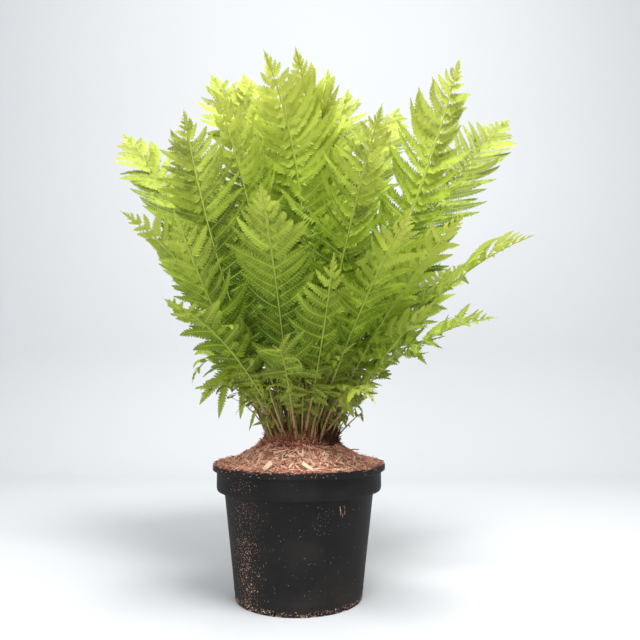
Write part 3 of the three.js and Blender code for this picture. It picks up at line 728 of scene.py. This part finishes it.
def lay_strip(start, heading, normal, long, wide, thick, bend, segments=2):
    """A bent sliver with a rectangular section, thinner towards its ends."""
    heading, normal = unit(heading), unit(normal)
    side = unit(np.cross(normal, heading))
    normal = np.cross(heading, side)
    points = []
    for k in range(segments + 1):
        u = k / segments
        slim = 1 - 0.55 * abs(2 * u - 1) ** 2
        spot = start + heading * long * (u - 0.5) + normal * bend * (1 - (2 * u - 1) ** 2)
        for x, y in ((1, 1), (-1, 1), (-1, -1), (1, -1)):
            points.append(spot + side * x * wide * slim / 2 + normal * y * thick * slim / 2)
    return np.array(points), tube_faces(segments + 1, 4)


def crown_fibres(material):
    """Old stalk bases, chaff and root fibres that stand up between the stalks."""
    draw = draws(32)
    skin = Skin()
    for i in range(STUBS):
        lay_stub(skin, draw, STUBS - OLD_STUBS <= i)
    for i in range(FIBRES):
        lay_fibre(skin, draw, i < OLD_FIBRES)
    return skin.piece("crown_fibres", [material], "crown_fibre", smooth_faces=False)


def lay_stub(skin, draw, old):
    """An old stalk base."""
    if old:
        radius = draw.uniform(50, 62)
        bearing = draw.normal(OLD_CLUMP_BEARING, 13) * DEGREE
    else:
        radius = 60 * math.sqrt(draw.random())
        bearing = draw.uniform(0, 2 * math.pi)
    lean = (radius / 64 * 28 + draw.normal(0, 9)) * DEGREE
    heading = around(math.sin(lean), bearing + draw.normal(0, 0.3), math.cos(lean))
    long = draw.uniform(12, 34)
    foot = around(radius * 0.94, bearing, crown_top(radius) - 5)
    wide = draw.uniform(2.2, 4.6)
    skin.add(*lay_strip(foot + heading * long / 2, heading, around(1, bearing, 0.2), long,
                        wide, wide * 0.7, draw.normal(0, 1.5), 3),
             (0.2, draw.uniform(0, 0.35) if old else draw.random(), 1.0))


def lay_fibre(skin, draw, old):
    """A root fibre or a thread of chaff."""
    if old:
        radius = draw.uniform(46, 66)
        bearing = draw.normal(OLD_CLUMP_BEARING, 14) * DEGREE
    else:
        radius = 57 * draw.random() ** 0.6
        bearing = draw.uniform(0, 2 * math.pi)
    lean = draw.uniform(5, 75) * DEGREE
    heading = around(math.sin(lean), bearing + draw.normal(0, 1.0), math.cos(lean))
    long = draw.uniform(6, 20)
    lift = draw.random() ** 2 * (22 if old else 8)
    centre = around(radius, bearing, crown_top(radius) + lift)
    skin.add(*lay_strip(centre, heading, draw.normal(0, 1, 3), long, draw.uniform(0.5, 1.5), 0.35,
                        draw.normal(0, 2.0)),
             (0.6, draw.uniform(0, 0.3) if old else draw.uniform(0.2, 1.0), 0.0))


STRAY_STALKS = 110
# stalks that stand out beside the crown: distance and bearing of the foot, lean, length, bend
LEANING_STALKS = [(60, -18, 38, 88, -6), (60, -30, 30, 105, -5), (60, -8, 44, 70, -3),
                  (58, 204, 36, 118, -14), (59, 214, 44, 104, -12)]
# leaflets that hang low at the left: root, the way they start, length and half width
HANGING_LEAFLETS = [
    ((-104, -62, 366), (-0.7, -0.1, -0.5), 78, 13),
    ((-112, -60, 350), (-0.25, -0.1, -1.0), 66, 9),
    ((-84, -60, 340), (-0.15, -0.1, -1.0), 56, 8),
    ((-106, -62, 372), (-1.0, 0.0, -0.1), 52, 10),
    ((-72, -55, 322), (-0.7, -0.1, -0.5), 44, 8),
    ((-66, -55, 300), (-0.4, -0.1, -0.9), 36, 6),
]


def stray_stalks(materials):
    """Thin young and broken stalks between the fronds, with ragged leaflets that hang every way."""
    draw = draws(33)
    skin = Skin()
    for _ in range(STRAY_STALKS):
        radius = 58 * math.sqrt(draw.random())
        lean = radius / 60 * 24 + draw.normal(0, 6)
        stray_stalk(skin, draw, radius, draw.uniform(0, 360), lean, draw.uniform(45, 125),
                    draw.normal(0, 4))
    for stalk in LEANING_STALKS:
        stray_stalk(skin, draw, *stalk)
    for root, start, long, half in HANGING_LEAFLETS:
        # their tone past 1 lightens them: partly their own light green, partly painted light
        stray_leaflet(skin, draw, root, start, 0.9, long, half, 1.4)
    return skin.piece("stray_stalks", materials, "frond")


def stray_stalk(skin, draw, radius, bearing, lean, long, bend):
    bearing, lean = bearing * DEGREE, lean * DEGREE
    heading = around(math.sin(lean), bearing + draw.normal(0, 0.2), math.cos(lean))
    away = around(1, bearing, 0.2)
    away = unit(away - (away @ heading) * heading)
    wide = draw.uniform(1.5, 2.8)
    foot = around(radius * 0.94, bearing, crown_top(radius) - 4)
    points, faces = lay_strip(foot + heading * long / 2, heading, away, long, wide, wide * 0.8, bend, 6)
    up = (points - foot) @ heading
    skin.add(points, faces, columns(up / 500, draw.uniform(-0.3, 0.9), up / 100))
    shade = draw.random()
    for place in draw.uniform(0.4, 1.0, draw.integers(2, 7)):
        root = foot + heading * long * place + away * bend * (1 - (2 * place - 1) ** 2)
        start = draw.normal(0, 1, 3) * [1, 1, 0.5] + [0, 0, 0.3]
        size = draw.uniform(10, 34)
        stray_leaflet(skin, draw, root, start, draw.uniform(0.2, 2.0), size,
                      draw.uniform(0.14, 0.24) * size, mix(shade, draw.random(), 0.6))


def stray_leaflet(skin, draw, root, start, sag, long, half, shade):
    """A leaflet that leaves its stalk any way and sags."""
    start = unit(start)
    u = np.arange(CURVE_STEPS)[:, None] / CURVE_STEPS
    tangent = unit(start + u * sag * np.array([0, 0, -1.0]))
    midrib = root + np.vstack([[0, 0, 0], np.cumsum(tangent * long / CURVE_STEPS, axis=0)])
    level = unit(np.cross(start, [0, 0, 1.0]) + 0.5 * draw.normal(0, 1, 3))
    normal = unit(np.cross(level, tangent))
    across = np.cross(tangent, normal)
    age = draw.uniform(0.1, 0.5)
    lay_leaflet(skin, draw, midrib, tangent, across, normal, long, half, age, shade, 1)


# The mulch

HEAP_AIR = 0.5      # millimetres between the heap's sides and the pot and crown
SLIVERS = 6000
BROAD_SHREDS = 150
CROWN_SHREDS = 1600
LIP_SHREDS = 1500
LIP_EDGE_CRUMBS = 150
# the two pale chips at the front: place, the way they run and the way they face, long and wide
PALE_CHIPS = [
    ((-43, -114, 220), (0.7, -0.2, 0.7), (0.1, -1, 0.9), 17, 16),
    ((15, -115, 220), (0.8, 0.3, -0.6), (0.1, -1, 0.9), 18, 13),
]


def litter_height(radius):
    """The top of the loose bark, which spills on to the lip."""
    return mulch_height(radius) + 3.6 * ramp(radius, 108, 130)


def mulch_heap(material):
    draw = draws(41)
    sides = 160
    bearing = np.linspace(0, 2 * math.pi, sides, endpoint=False)
    hole = MULCH_HOLE + HEAP_AIR
    edge = BAND_INSIDE - HEAP_AIR
    foot = MEDIUM_TOP + SEAT
    below = [(hole, foot), (edge, foot), (edge, MULCH_EDGE - 4)]
    profile = below + [(r, litter_height(r) - 2.4) for r in np.linspace(edge - 1, hole, 26)]
    points = []
    for row, (radius, height) in enumerate(profile):
        rough = 0.0 if row < len(below) else 1.0
        points.append(around(radius, bearing, height + draw.normal(0, rough, sides)))
    # the ends of the tube are joined round the hole
    faces = tube_faces(len(profile), sides)[:-2]
    last = (len(profile) - 1) * sides
    faces += [[(i + 1) % sides + last, i + last, i, (i + 1) % sides] for i in range(sides)]
    return add_piece("mulch_heap", np.vstack(points), [face[::-1] for face in faces], [material],
                     ["bark_mulch"], growth=(0.0, 0.15, 0.0))


def lay_shred(draw, radius, bearing, long, wide, thick, rise, tone):
    """A sliver that lies on the slope of the heap, any way round and nearly flat."""
    climb = litter_height(radius + 0.5) - litter_height(radius - 0.5)
    outward, upward = unit(np.array([-climb, 1.0]))
    normal = around(outward, bearing, upward)
    downhill = around(upward, bearing, -outward)
    yaw = draw.uniform(0, 2 * math.pi)
    tilt = draw.normal(0, 0.22)
    level = math.cos(yaw) * downhill + math.sin(yaw) * np.cross(normal, downhill)
    heading = math.cos(tilt) * level + math.sin(tilt) * normal
    face = normal + 0.35 * draw.normal(0, 1, 3)
    start = around(radius, bearing, litter_height(radius) + rise)
    strip = lay_strip(start, heading, face, long, wide, thick, draw.normal(0, 0.07) * long)
    return *strip, (draw.random(), tone, 0.0)


def heap_shreds(skin, draw):
    """Thousands of slivers, rusty near the crown, and a few broad shreds."""
    for _ in range(SLIVERS):
        radius = math.sqrt(draw.uniform(56 ** 2, 131 ** 2))
        long = 4 + 16 * draw.random() ** 2.2
        wide = draw.uniform(0.6, 2.2)
        rust = 0.3 * (1 - ramp(radius, 52, 74))
        tone = np.clip(draw.normal(0.6 - rust, 0.27), 0, 0.97)
        rise = -1.6 + 3.0 * draw.random() ** 1.5
        skin.add(*lay_shred(draw, radius, draw.uniform(0, 2 * math.pi), long, wide,
                            draw.uniform(0.4, 1.0), rise, tone))
    for _ in range(BROAD_SHREDS):
        radius = math.sqrt(draw.uniform(62 ** 2, 124 ** 2))
        long = draw.uniform(8, 20)
        skin.add(*lay_shred(draw, radius, draw.uniform(0, 2 * math.pi), long, draw.uniform(2.4, 5),
                            draw.uniform(1.0, 2.0), 0.9, draw.uniform(0.5, 0.95)))


def crown_shreds(skin, draw):
    """Bark that has slid on to the crown's shoulder."""
    for _ in range(CROWN_SHREDS):
        radius = draw.uniform(42, 64)
        bearing = draw.uniform(0, 2 * math.pi)
        spot = around(radius, bearing, crown_top(radius) + draw.uniform(-1, 1.5))
        skin.add(*lay_strip(spot, draw.normal(0, 1, 3) * [1, 1, 0.6], around(0.7, bearing, 1),
                            draw.uniform(4, 13), draw.uniform(0.8, 2.6), 0.7, draw.normal(0, 1)),
                 (0.5, draw.uniform(0, 0.6), 0.0))


def lip_shreds(skin, draw):
    """Short shreds that lie on the pot's lip, heaped at its mouth, and crumbs on the lip's side."""
    for _ in range(LIP_SHREDS):
        radius = mix(124, LIP_RADIUS - 1.2, draw.random() ** 1.3)
        points, faces, growth = lay_shred(draw, radius, draw.uniform(0, 2 * math.pi),
                                          draw.uniform(2, 8), draw.uniform(0.6, 1.8), 0.7, 0.0,
                                          np.clip(draw.normal(0.5, 0.22), 0, 0.95))
        heap = 1.8 * draw.random() * (1 - ramp(radius, 130, 139))
        points[:, 2] += POT_HEIGHT + 0.6 + heap - points[:, 2].mean()
        skin.add(points, faces, growth)
    for _ in range(LIP_EDGE_CRUMBS):
        bearing = draw.uniform(0, 2 * math.pi)
        spot = around(LIP_RADIUS + 0.2, bearing, POT_HEIGHT - 7 * draw.random() ** 2)
        skin.add(*lay_strip(spot, draw.normal(0, 1, 3) * [1, 1, 0.4], around(1, bearing, 0.3),
                            draw.uniform(1.5, 4), draw.uniform(0.5, 1.2), 0.5, 0.0, 1),
                 (0.5, draw.uniform(0.3, 0.9), 0.0))


def mulch_shreds(material):
    """Shredded bark, sliver by sliver."""
    draw = draws(42)
    skin = Skin()
    heap_shreds(skin, draw)
    crown_shreds(skin, draw)
    for spot, heading, face, long, wide in PALE_CHIPS:
        skin.add(*lay_strip(spot, heading, face, long, wide, 3, 0, 1), (0.5, 1.15, 0.0))
    lip_shreds(skin, draw)
    return skin.piece("mulch_shreds", [material], "bark", smooth_faces=False)


# The pot

def rounded(corners, steps=5):
    """A profile of (radius, height, rounding) corners with each rounded corner as an arc."""
    points = []
    for i, (radius, height, size) in enumerate(corners):
        here = np.array([radius, height], float)
        if size == 0 or i in (0, len(corners) - 1):
            points.append(here)
            continue
        before = np.array(corners[i - 1][:2], float) - here
        after = np.array(corners[i + 1][:2], float) - here
        start = here + unit(before) * min(size, np.linalg.norm(before) / 2)
        end = here + unit(after) * min(size, np.linalg.norm(after) / 2)
        for k in range(steps + 1):
            u = k / steps
            points.append((1 - u) ** 2 * start + 2 * u * (1 - u) * here + u * u * end)
    return points


def wall_radius(height):
    return mix(BASE_RADIUS, WALL_TOP_RADIUS, height / BAND_FOOT)


def pot_profile():
    lip_foot = POT_HEIGHT - LIP_THICK
    floor_top = FLOOR_RISE + FLOOR_THICK
    return rounded([
        (0.01, 0, 0),
        (PAD_RADIUS, 0, 1.2),
        (PAD_RADIUS + FLOOR_THICK, FLOOR_RISE, 1.2),
        (BASE_RADIUS - POT_WALL - EDGE_ROUND, FLOOR_RISE, 1.0),
        (BASE_RADIUS - POT_WALL, 0, 0.8),
        (BASE_RADIUS - 0.2, 0, 1.6),
        (wall_radius(14), 14, 0),
        (wall_radius(14.5) + 0.5, 15.2, 0.5),
        (wall_radius(16) + 0.5, 17.5, 0.5),
        (wall_radius(19), 19, 0),
        (WALL_TOP_RADIUS, BAND_FOOT, 1.8),
        (BAND_RADIUS - 1.0, BAND_FOOT + 1, 1.4),
        (BAND_RADIUS, BAND_FOOT + 6, 1.5),
        (BAND_RADIUS, lip_foot - 1.5, 1.4),
        (LIP_RADIUS, lip_foot, 1.2),
        (LIP_RADIUS, POT_HEIGHT, 1.8),
        (LIP_INSIDE, POT_HEIGHT, 1.4),
        (BAND_INSIDE, POT_HEIGHT - BAND_STEP, 1.0),
        (BAND_INSIDE, BAND_FOOT + BAND_STEP, 0),
        (WALL_TOP_RADIUS - POT_WALL, BAND_FOOT, 0),
        (wall_radius(floor_top) - POT_WALL, floor_top, 0),
        (0.01, floor_top, 0),
    ])


def notch_cutter():
    points = []
    faces = []
    along, across, high = [size / 2 for size in NOTCH_SIZE]
    for i in range(NOTCHES):
        turn = (NOTCH_TURN + i * 360 / NOTCHES) * DEGREE
        first = len(points)
        for z in (-high, high):
            for x, y in ((-along, -across), (along, -across), (along, across), (-along, across)):
                points.append(around(BASE_RADIUS + x, turn, z) + around(y, turn + math.pi / 2, 0))
        sides = [[0, 3, 2, 1], [4, 5, 6, 7]] + [[k, (k + 1) % 4, (k + 1) % 4 + 4, k + 4] for k in range(4)]
        faces += [[first + corner for corner in side] for side in sides]
    mesh = bpy.data.meshes.new("notch_cutter")
    mesh.from_pydata((np.array(points) * MM).tolist(), [], faces)
    return bpy.data.objects.new("notch_cutter", mesh)


def pot_shell(material):
    sides = 144
    bearing = np.linspace(0, 2 * math.pi, sides, endpoint=False)
    rows = [around(radius, bearing, height) for radius, height in pot_profile()]
    faces = [face[::-1] for face in tube_faces(len(rows), sides)]
    pot = add_piece("pot_shell", np.vstack(rows), faces, [material], ["nursery_pot"])
    cutter = notch_cutter()
    bpy.context.scene.collection.objects.link(cutter)
    cut = pot.modifiers.new("notches", "BOOLEAN")
    cut.operation = "DIFFERENCE"
    cut.solver = "EXACT"
    cut.object = cutter
    with bpy.context.temp_override(object=pot, active_object=pot, selected_objects=[pot]):
        bpy.ops.object.modifier_apply(modifier=cut.name)
    bpy.data.objects.remove(cutter)
    pot.data.set_sharp_from_angle(angle=38 * DEGREE)
    return pot


# how many crumbs, their bearing and its spread (degrees), lowest and highest place, size of a
# grain, how many times longer than wide it may be, and how upright it lies
DUST_PATCHES = [
    (640, (224, 8), (4, 110), 0.65, 1.9, 1.4),
    (50, (228, 5), (6, 90), 1.6, 2.0, 1.4),
    (360, (228, 8), (90, 166), 0.6, 1.7, 1.4),
    (60, (231, 7), (179, 200), 0.7, 2.5, 1.4),
    (50, (288, 6), (120, 164), 0.6, 1.4, 1.4),
    (8, (304, 2.4), (146, 164), 0.9, 14.0, 12),
    (260, (262, 60), (1, 9), 1.3, 2.0, 1.4),
    (120, (262, 30), (8, 166), 0.6, 1.6, 1.4),
    (240, (90, 75), (3, 198), 0.7, 1.8, 1.4),
]


def pot_dust(material):
    """Crumbs of bark that cling to the wall, most of them low on the left of the front."""
    draw = draws(51)
    skin = Skin()
    for count, (bearing, spread), (foot, top), size, long, upright in DUST_PATCHES:
        for _ in range(count):
            angle = draw.normal(bearing, spread) * DEGREE
            height = draw.uniform(foot, top)
            grain = size * (0.55 + 0.9 * draw.random() ** 2)
            tone = draw.uniform(0.3, 1.15)
            if BAND_FOOT - 3 < height < BAND_FOOT + 8:
                continue
            radius = BAND_RADIUS if height > BAND_FOOT else wall_radius(height)
            skin.add(*lay_strip(around(radius + 0.1, angle, height),
                                draw.normal(0, 1, 3) * [1, 1, upright], around(1, angle, 0),
                                grain * draw.uniform(1, long), grain, 0.4, 0.0, 1),
                     (0.5, tone, 0.0))
    return skin.piece("pot_dust", [material], "bark", smooth_faces=False)


TWIG_SIDES = 7
TWIG_LINE = [(50, -57, 238), (61, -60, 236), (71, -60, 234), (79, -59, 237.5), (87, -57, 239),
             (95, -55, 238)]


def dry_twig(material):
    """A dry stalk that lies on the mulch at the right of the crown."""
    skin = Skin()
    points = []
    for k, spot in enumerate(TWIG_LINE):
        size = mix(1.7, 0.8, k / (len(TWIG_LINE) - 1))
        for i in range(TWIG_SIDES):
            turn = -i / TWIG_SIDES * 2 * math.pi
            ring = np.array([0.3 * math.cos(turn), math.cos(turn), math.sin(turn)])
            points.append(spot + ring * size)
    skin.add(np.array(points), tube_faces(len(TWIG_LINE), TWIG_SIDES), (0.3, 0.75, 0.0))
    return skin.piece("dry_twig", [material], "crown_fibre")


# Materials

def leaf_blade():
    """Young fern leaflets: thin and matt, they let light through, which turns it yellow green; painted
    light and shade lighten and darken them by where they stand.
    """
    material, tree = new_material("fern_leaflet_young_thin")
    growth = put(tree, "Attribute", attribute_name="growth")
    parts = put(tree, "SeparateXYZ", [("Vector", growth.outputs["Vector"])])
    age, tone, over = parts.outputs
    where = put(tree, "TexCoord")
    patch = put(tree, "TexNoise", [("Vector", where.outputs["Object"]), ("Scale", 1 / 0.045),
                                   ("Detail", 3.0)])
    shade = put(tree, "Math", [(0, tone), (1, patch)], operation="ADD")
    older = put(tree, "MapRange", [("Value", shade), ("From Min", 0.6), ("From Max", 1.2)])
    # painted light and shade: leaves are darker low and deep in the clump, and lighter high up, out to the
    # sides (the right above all) and at the front, where the light falls
    place = put(tree, "SeparateXYZ", [("Vector", where.outputs["Object"])])
    height = put(tree, "VectorMath", [(0, where.outputs["Object"]), (1, (0.35, -0.25, 1.0))],
                 operation="DOT_PRODUCT")
    outer = put(tree, "Math", [(0, place)], operation="ABSOLUTE")
    bright = put(tree, "Math", [(0, outer), (1, 0.6), (2, height.outputs["Value"])],
                 operation="MULTIPLY_ADD")
    lit = put(tree, "MapRange", [("Value", bright), ("From Min", 0.42), ("From Max", 0.83),
                                 ("To Min", 0.1), ("To Max", 1.0)])
    # painted light and shade scale the leaves' own tone
    painted_shade_tone = put(tree, "Math", [(0, older), (1, lit)], operation="MULTIPLY")
    # a tone past 1 marks a frond that is light wherever it stands: its own lighter green, with painted
    # light in it
    light_frond_tone = put(tree, "MapRange", [("Value", tone), ("From Min", 0.9), ("From Max", 1.5), ("To Max", 0.75)])
    lighter = put(tree, "Math", [(0, painted_shade_tone), (1, light_frond_tone)], operation="MAXIMUM")
    body = put(tree, "Mix", [("Factor", lighter), ("A", linear("#305109")), ("B", linear("#A0C02A"))],
               data_type="RGBA")
    young = put(tree, "MapRange", [("Value", age), ("From Min", 0.42), ("From Max", 1.0), ("To Max", 0.4)],
                interpolation_type="SMOOTHSTEP")
    # the lowest leaflets dry out to olive
    low = put(tree, "MapRange", [("Value", place.outputs[2]), ("From Min", 0.4), ("From Max", 0.27),
                                 ("To Max", 0.6)])
    green = put(tree, "Mix", [("Factor", low), ("A", body), ("B", linear("#A09A50"))],
                data_type="RGBA")
    # painted highlight: the young parts of leaflets turn pale yellow, and the more painted light falls
    # there, the paler they turn
    painted_light_sum = put(tree, "Math", [(0, lit), (1, painted_shade_tone)], operation="ADD")
    young_painted_highlight = put(tree, "Math", [(0, young), (1, painted_light_sum)], operation="MULTIPLY")
    fresh = put(tree, "Mix", [("Factor", young_painted_highlight), ("A", green), ("B", linear("#D2D368"))],
                data_type="RGBA")
    # the midrib and the vein up each lobe are paler, a little wider than real to show
    rib = put(tree, "MapRange", [("Value", over), ("From Min", 0.02), ("From Max", 0.12), ("To Min", 0.65),
                                 ("To Max", 0.0)])
    lobe = put(tree, "UVMap", uv_map="lobe")
    lobe_parts = put(tree, "SeparateXYZ", [("Vector", lobe.outputs["UV"])])
    beside = put(tree, "Math", [(0, lobe_parts), (1, 0.55)], operation="SUBTRACT")
    apart = put(tree, "Math", [(0, beside)], operation="ABSOLUTE")
    vein = put(tree, "MapRange", [("Value", apart), ("From Min", 0.03), ("From Max", 0.12),
                                  ("To Min", 0.45), ("To Max", 0.0)])
    line = put(tree, "Math", [(0, rib), (1, vein)], operation="MAXIMUM")
    veined = put(tree, "Mix", [("Factor", line), ("A", fresh),
                               ("B", linear("#B0C843"))], data_type="RGBA")
    # a grain of 1.2 mm, coarser than the real skin's, so that it shows
    grain = put(tree, "TexNoise", [("Vector", where.outputs["Object"]), ("Scale", 1 / 0.0012),
                                   ("Detail", 2.0)])
    relief = put(tree, "Math", [(0, grain), (1, line)], operation="ADD")
    bump = put(tree, "Bump", [("Height", relief), ("Strength", 0.6), ("Distance", 0.0004)])
    surface = put(tree, "BsdfPrincipled", [("Base Color", veined), ("Roughness", 0.52),
                                           ("IOR", 1.42), ("Specular IOR Level", 0.2),
                                           ("Normal", bump)])
    through = put(tree, "Mix", [("Factor", 0.5), ("A", veined), ("B", linear("#CCCC66"))],
                  data_type="RGBA")
    glow = put(tree, "BsdfTranslucent", [("Color", through), ("Normal", bump)])
    # the share of light let through follows the same painted highlight
    thin = put(tree, "MapRange", [("Value", young_painted_highlight), ("To Min", 0.22), ("To Max", 0.38)])
    whole = put(tree, "MixShader", [(0, thin), (1, surface), (2, glow)])
    put(tree, "OutputMaterial", [("Surface", whole)])
    return material


def leaf_stalk():
    """Grooved stalks: juicy and smooth above, brown and streaked where they leave the crown."""
    material, tree = new_material("fern_stalk_fresh")
    growth = put(tree, "Attribute", attribute_name="growth")
    parts = put(tree, "SeparateXYZ", [("Vector", growth.outputs["Vector"])])
    age, tone, along = parts.outputs
    where = put(tree, "TexCoord")
    slim = put(tree, "Mapping", [("Vector", where.outputs["Object"]), ("Scale", (900, 900, 45))])
    streak = put(tree, "TexNoise", [("Vector", slim), ("Scale", 1.0), ("Detail", 3.0)])
    uneven = put(tree, "Math", [(0, streak), (1, 0.7)], operation="MULTIPLY")
    place = put(tree, "Math", [(0, along), (1, uneven)], operation="SUBTRACT")
    place = put(tree, "Math", [(0, place), (1, tone)], operation="SUBTRACT")
    greener = put(tree, "MapRange", [("Value", place), ("From Min", -0.7), ("From Max", 1.1)],
                  interpolation_type="SMOOTHSTEP")
    lower = put(tree, "Mix", [("Factor", streak), ("A", linear("#3F2414")),
                              ("B", linear("#C4A874"))], data_type="RGBA")
    colour = put(tree, "Mix", [("Factor", greener), ("A", lower),
                               ("B", linear("#9FB048"))], data_type="RGBA")
    bump = put(tree, "Bump", [("Height", streak), ("Strength", 0.4), ("Distance", 0.0004)])
    surface = put(tree, "BsdfPrincipled", [("Base Color", colour), ("Roughness", 0.42),
                                           ("IOR", 1.42), ("Normal", bump)])
    put(tree, "OutputMaterial", [("Surface", surface)])
    return material


def dry_matter(name, dark, middle, pale, grain_mm, roughness):
    """Dry plant matter whose tone is drawn for each sliver, with a grain along it."""
    material, tree = new_material(name)
    growth = put(tree, "Attribute", attribute_name="growth")
    parts = put(tree, "SeparateXYZ", [("Vector", growth.outputs["Vector"])])
    where = put(tree, "TexCoord")
    grain = put(tree, "TexNoise", [("Vector", where.outputs["Object"]), ("Scale", 1 / (grain_mm * MM)),
                                   ("Detail", 4.0), ("Roughness", 0.65)])
    offset = put(tree, "MapRange", [("Value", grain), ("From Min", 0.3), ("From Max", 0.7),
                                    ("To Min", -0.16), ("To Max", 0.16)])
    tone = put(tree, "Math", [(0, parts.outputs[1]), (1, offset)], operation="ADD")
    low = put(tree, "MapRange", [("Value", tone), ("From Min", 0.0), ("From Max", 0.5)])
    high = put(tree, "MapRange", [("Value", tone), ("From Min", 0.5), ("From Max", 1.0)])
    brown = put(tree, "Mix", [("Factor", low), ("A", linear(dark)), ("B", linear(middle))],
                data_type="RGBA")
    colour = put(tree, "Mix", [("Factor", high), ("A", brown),
                               ("B", linear(pale))], data_type="RGBA")
    bump = put(tree, "Bump", [("Height", grain), ("Strength", 0.6), ("Distance", 0.0006)])
    surface = put(tree, "BsdfPrincipled", [("Base Color", colour), ("Roughness", roughness),
                                           ("IOR", 1.5), ("Specular IOR Level", 0.25),
                                           ("Normal", bump)])
    put(tree, "OutputMaterial", [("Surface", surface)])
    return material


def moulded_polypropylene():
    """Recycled black polypropylene, injection moulded: satin, faintly cloudy, with a film of dust."""
    material, tree = new_material("polypropylene_black_moulded")
    where = put(tree, "TexCoord")
    cloud = put(tree, "TexNoise", [("Vector", where.outputs["Object"]), ("Scale", 1 / 0.06),
                                   ("Detail", 5.0)])
    # the mould's grain, 1.1 mm and so coarser than real, to show
    skin = put(tree, "TexNoise", [("Vector", where.outputs["Object"]), ("Scale", 1 / 0.0011),
                                  ("Detail", 2.0)])
    film = put(tree, "MapRange", [("Value", cloud), ("From Min", 0.42), ("From Max", 0.75),
                                  ("To Max", 0.22)])
    parts = put(tree, "SeparateXYZ", [("Vector", where.outputs["Object"])])
    low = put(tree, "MapRange", [("Value", parts.outputs[2]), ("From Min", 0.045), ("From Max", 0.0),
                                 ("To Max", 0.35)])
    speck = put(tree, "Math", [(0, low), (1, skin)], operation="MULTIPLY")
    dusty = put(tree, "Math", [(0, film), (1, speck)], operation="ADD")
    colour = put(tree, "Mix", [("Factor", dusty), ("A", linear("#101011")), ("B", linear("#463D36"))],
                 data_type="RGBA")
    rough = put(tree, "MapRange", [("Value", cloud), ("From Min", 0.3), ("From Max", 0.7),
                                   ("To Min", 0.55), ("To Max", 0.7)])
    bump = put(tree, "Bump", [("Height", skin), ("Strength", 0.25), ("Distance", 0.00015)])
    surface = put(tree, "BsdfPrincipled", [("Base Color", colour),
                                           ("Roughness", rough), ("IOR", 1.49),
                                           ("Specular IOR Level", 0.2), ("Normal", bump)])
    put(tree, "OutputMaterial", [("Surface", surface)])
    return material


def plain_stage(name, hex_colour):
    material, tree = new_material(name)
    surface = put(tree, "BsdfPrincipled", [("Base Color", linear(hex_colour)), ("Roughness", 0.85)])
    put(tree, "OutputMaterial", [("Surface", surface)])
    return material


# The stage: a pale floor that curves up behind the plant, soft light and the camera

def add_stage():
    cove = 0.5
    back = 1.3
    reach = 6.0
    half_width = 7.0
    profile = [(-reach, 0.0), (back, 0.0)]
    profile += [(back + cove * math.sin(turn), cove - cove * math.cos(turn))
                for turn in np.linspace(0.1, math.pi / 2, 12)]
    profile += [(back + cove, reach)]
    points = [(x, y, z) for y, z in profile for x in (-half_width, half_width)]
    faces = [[2 * i, 2 * i + 1, 2 * i + 3, 2 * i + 2] for i in range(len(profile) - 1)]
    mesh = bpy.data.meshes.new("studio_floor")
    mesh.from_pydata(points, [], faces)
    mesh.materials.append(plain_stage("studio_floor_pale", "#CBCDCF"))
    mesh.shade_smooth()
    floor = bpy.data.objects.new("studio_floor", mesh)
    bpy.context.scene.collection.objects.link(floor)


def add_light(name, place, aim_at, size, watts):
    lamp = bpy.data.lights.new(name, "AREA")
    lamp.shape = "DISK"
    lamp.size = size
    lamp.energy = watts
    lit = bpy.data.objects.new(name, lamp)
    lit.location = place
    ray = np.array(aim_at) - np.array(place)
    lit.rotation_euler = (math.atan2(math.hypot(ray[0], ray[1]), -ray[2]), 0,
                          math.atan2(ray[1], ray[0]) - math.pi / 2)
    bpy.context.scene.collection.objects.link(lit)


def add_daylight():
    world = bpy.data.worlds.new("studio_air")
    world.use_nodes = True
    sky = world.node_tree.nodes["Background"]
    sky.inputs["Color"].default_value = linear("#FAFCFF")
    sky.inputs["Strength"].default_value = 0.5
    bpy.context.scene.world = world


CAMERA_PLACE = (0.034, -1.100, 0.344)
FOCAL_PIXELS = 660
IMAGE_PIXELS = 640
HORIZON_DROP = 61.5     # pixels from the middle of the image down to the horizon


def add_camera():
    camera = bpy.data.cameras.new("camera")
    camera.sensor_width = 36
    camera.lens = 36 * FOCAL_PIXELS / IMAGE_PIXELS
    held = bpy.data.objects.new("camera", camera)
    held.location = CAMERA_PLACE
    held.rotation_euler = (math.pi / 2 + math.atan(HORIZON_DROP / FOCAL_PIXELS), 0, 0)
    bpy.context.scene.collection.objects.link(held)
    bpy.context.scene.camera = held


def build():
    add_camera()
    add_stage()
    add_daylight()
    add_light("window_top", (0.4, -0.9, 2.3), (0, 0, 0.5), 0.9, 68)
    add_light("window_back", (0.0, 0.8, 2.1), (0, 0, 0.6), 1.0, 6)
    add_light("fill_front", (-0.7, -2.3, 1.1), (0, 0, 0.3), 1.6, 24)
    add_light("wall_wash", (0, 0.5, 2.8), (0, 1.8, 1.7), 3.2, 26)
    bpy.context.scene.view_settings.view_transform = "Standard"

    bark = dry_matter("bark_shredded_dry", "#744031", "#C4846E", "#ECCEB0", 2.2, 0.85)
    fibre = dry_matter("crown_fibre_dry", "#2A1810", "#6B4028", "#A97B52", 1.5, 0.8)
    peat = dry_matter("peat_damp", "#1E140E", "#3A291D", "#5A4432", 3.0, 0.9)
    pot_shell(moulded_polypropylene())
    pot_dust(bark)
    mulch_heap(bark)
    mulch_shreds(bark)
    crown_mound(fibre)
    crown_fibres(fibre)
    dry_twig(fibre)
    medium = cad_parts["growing_medium"]
    medium.data.materials.clear()
    medium.data.materials.append(peat)
    blades = [leaf_stalk(), leaf_blade(), fibre]
    stray_stalks(blades)
    for number, frond in enumerate(all_fronds()):
        grow_frond(frond, number, blades)


build()
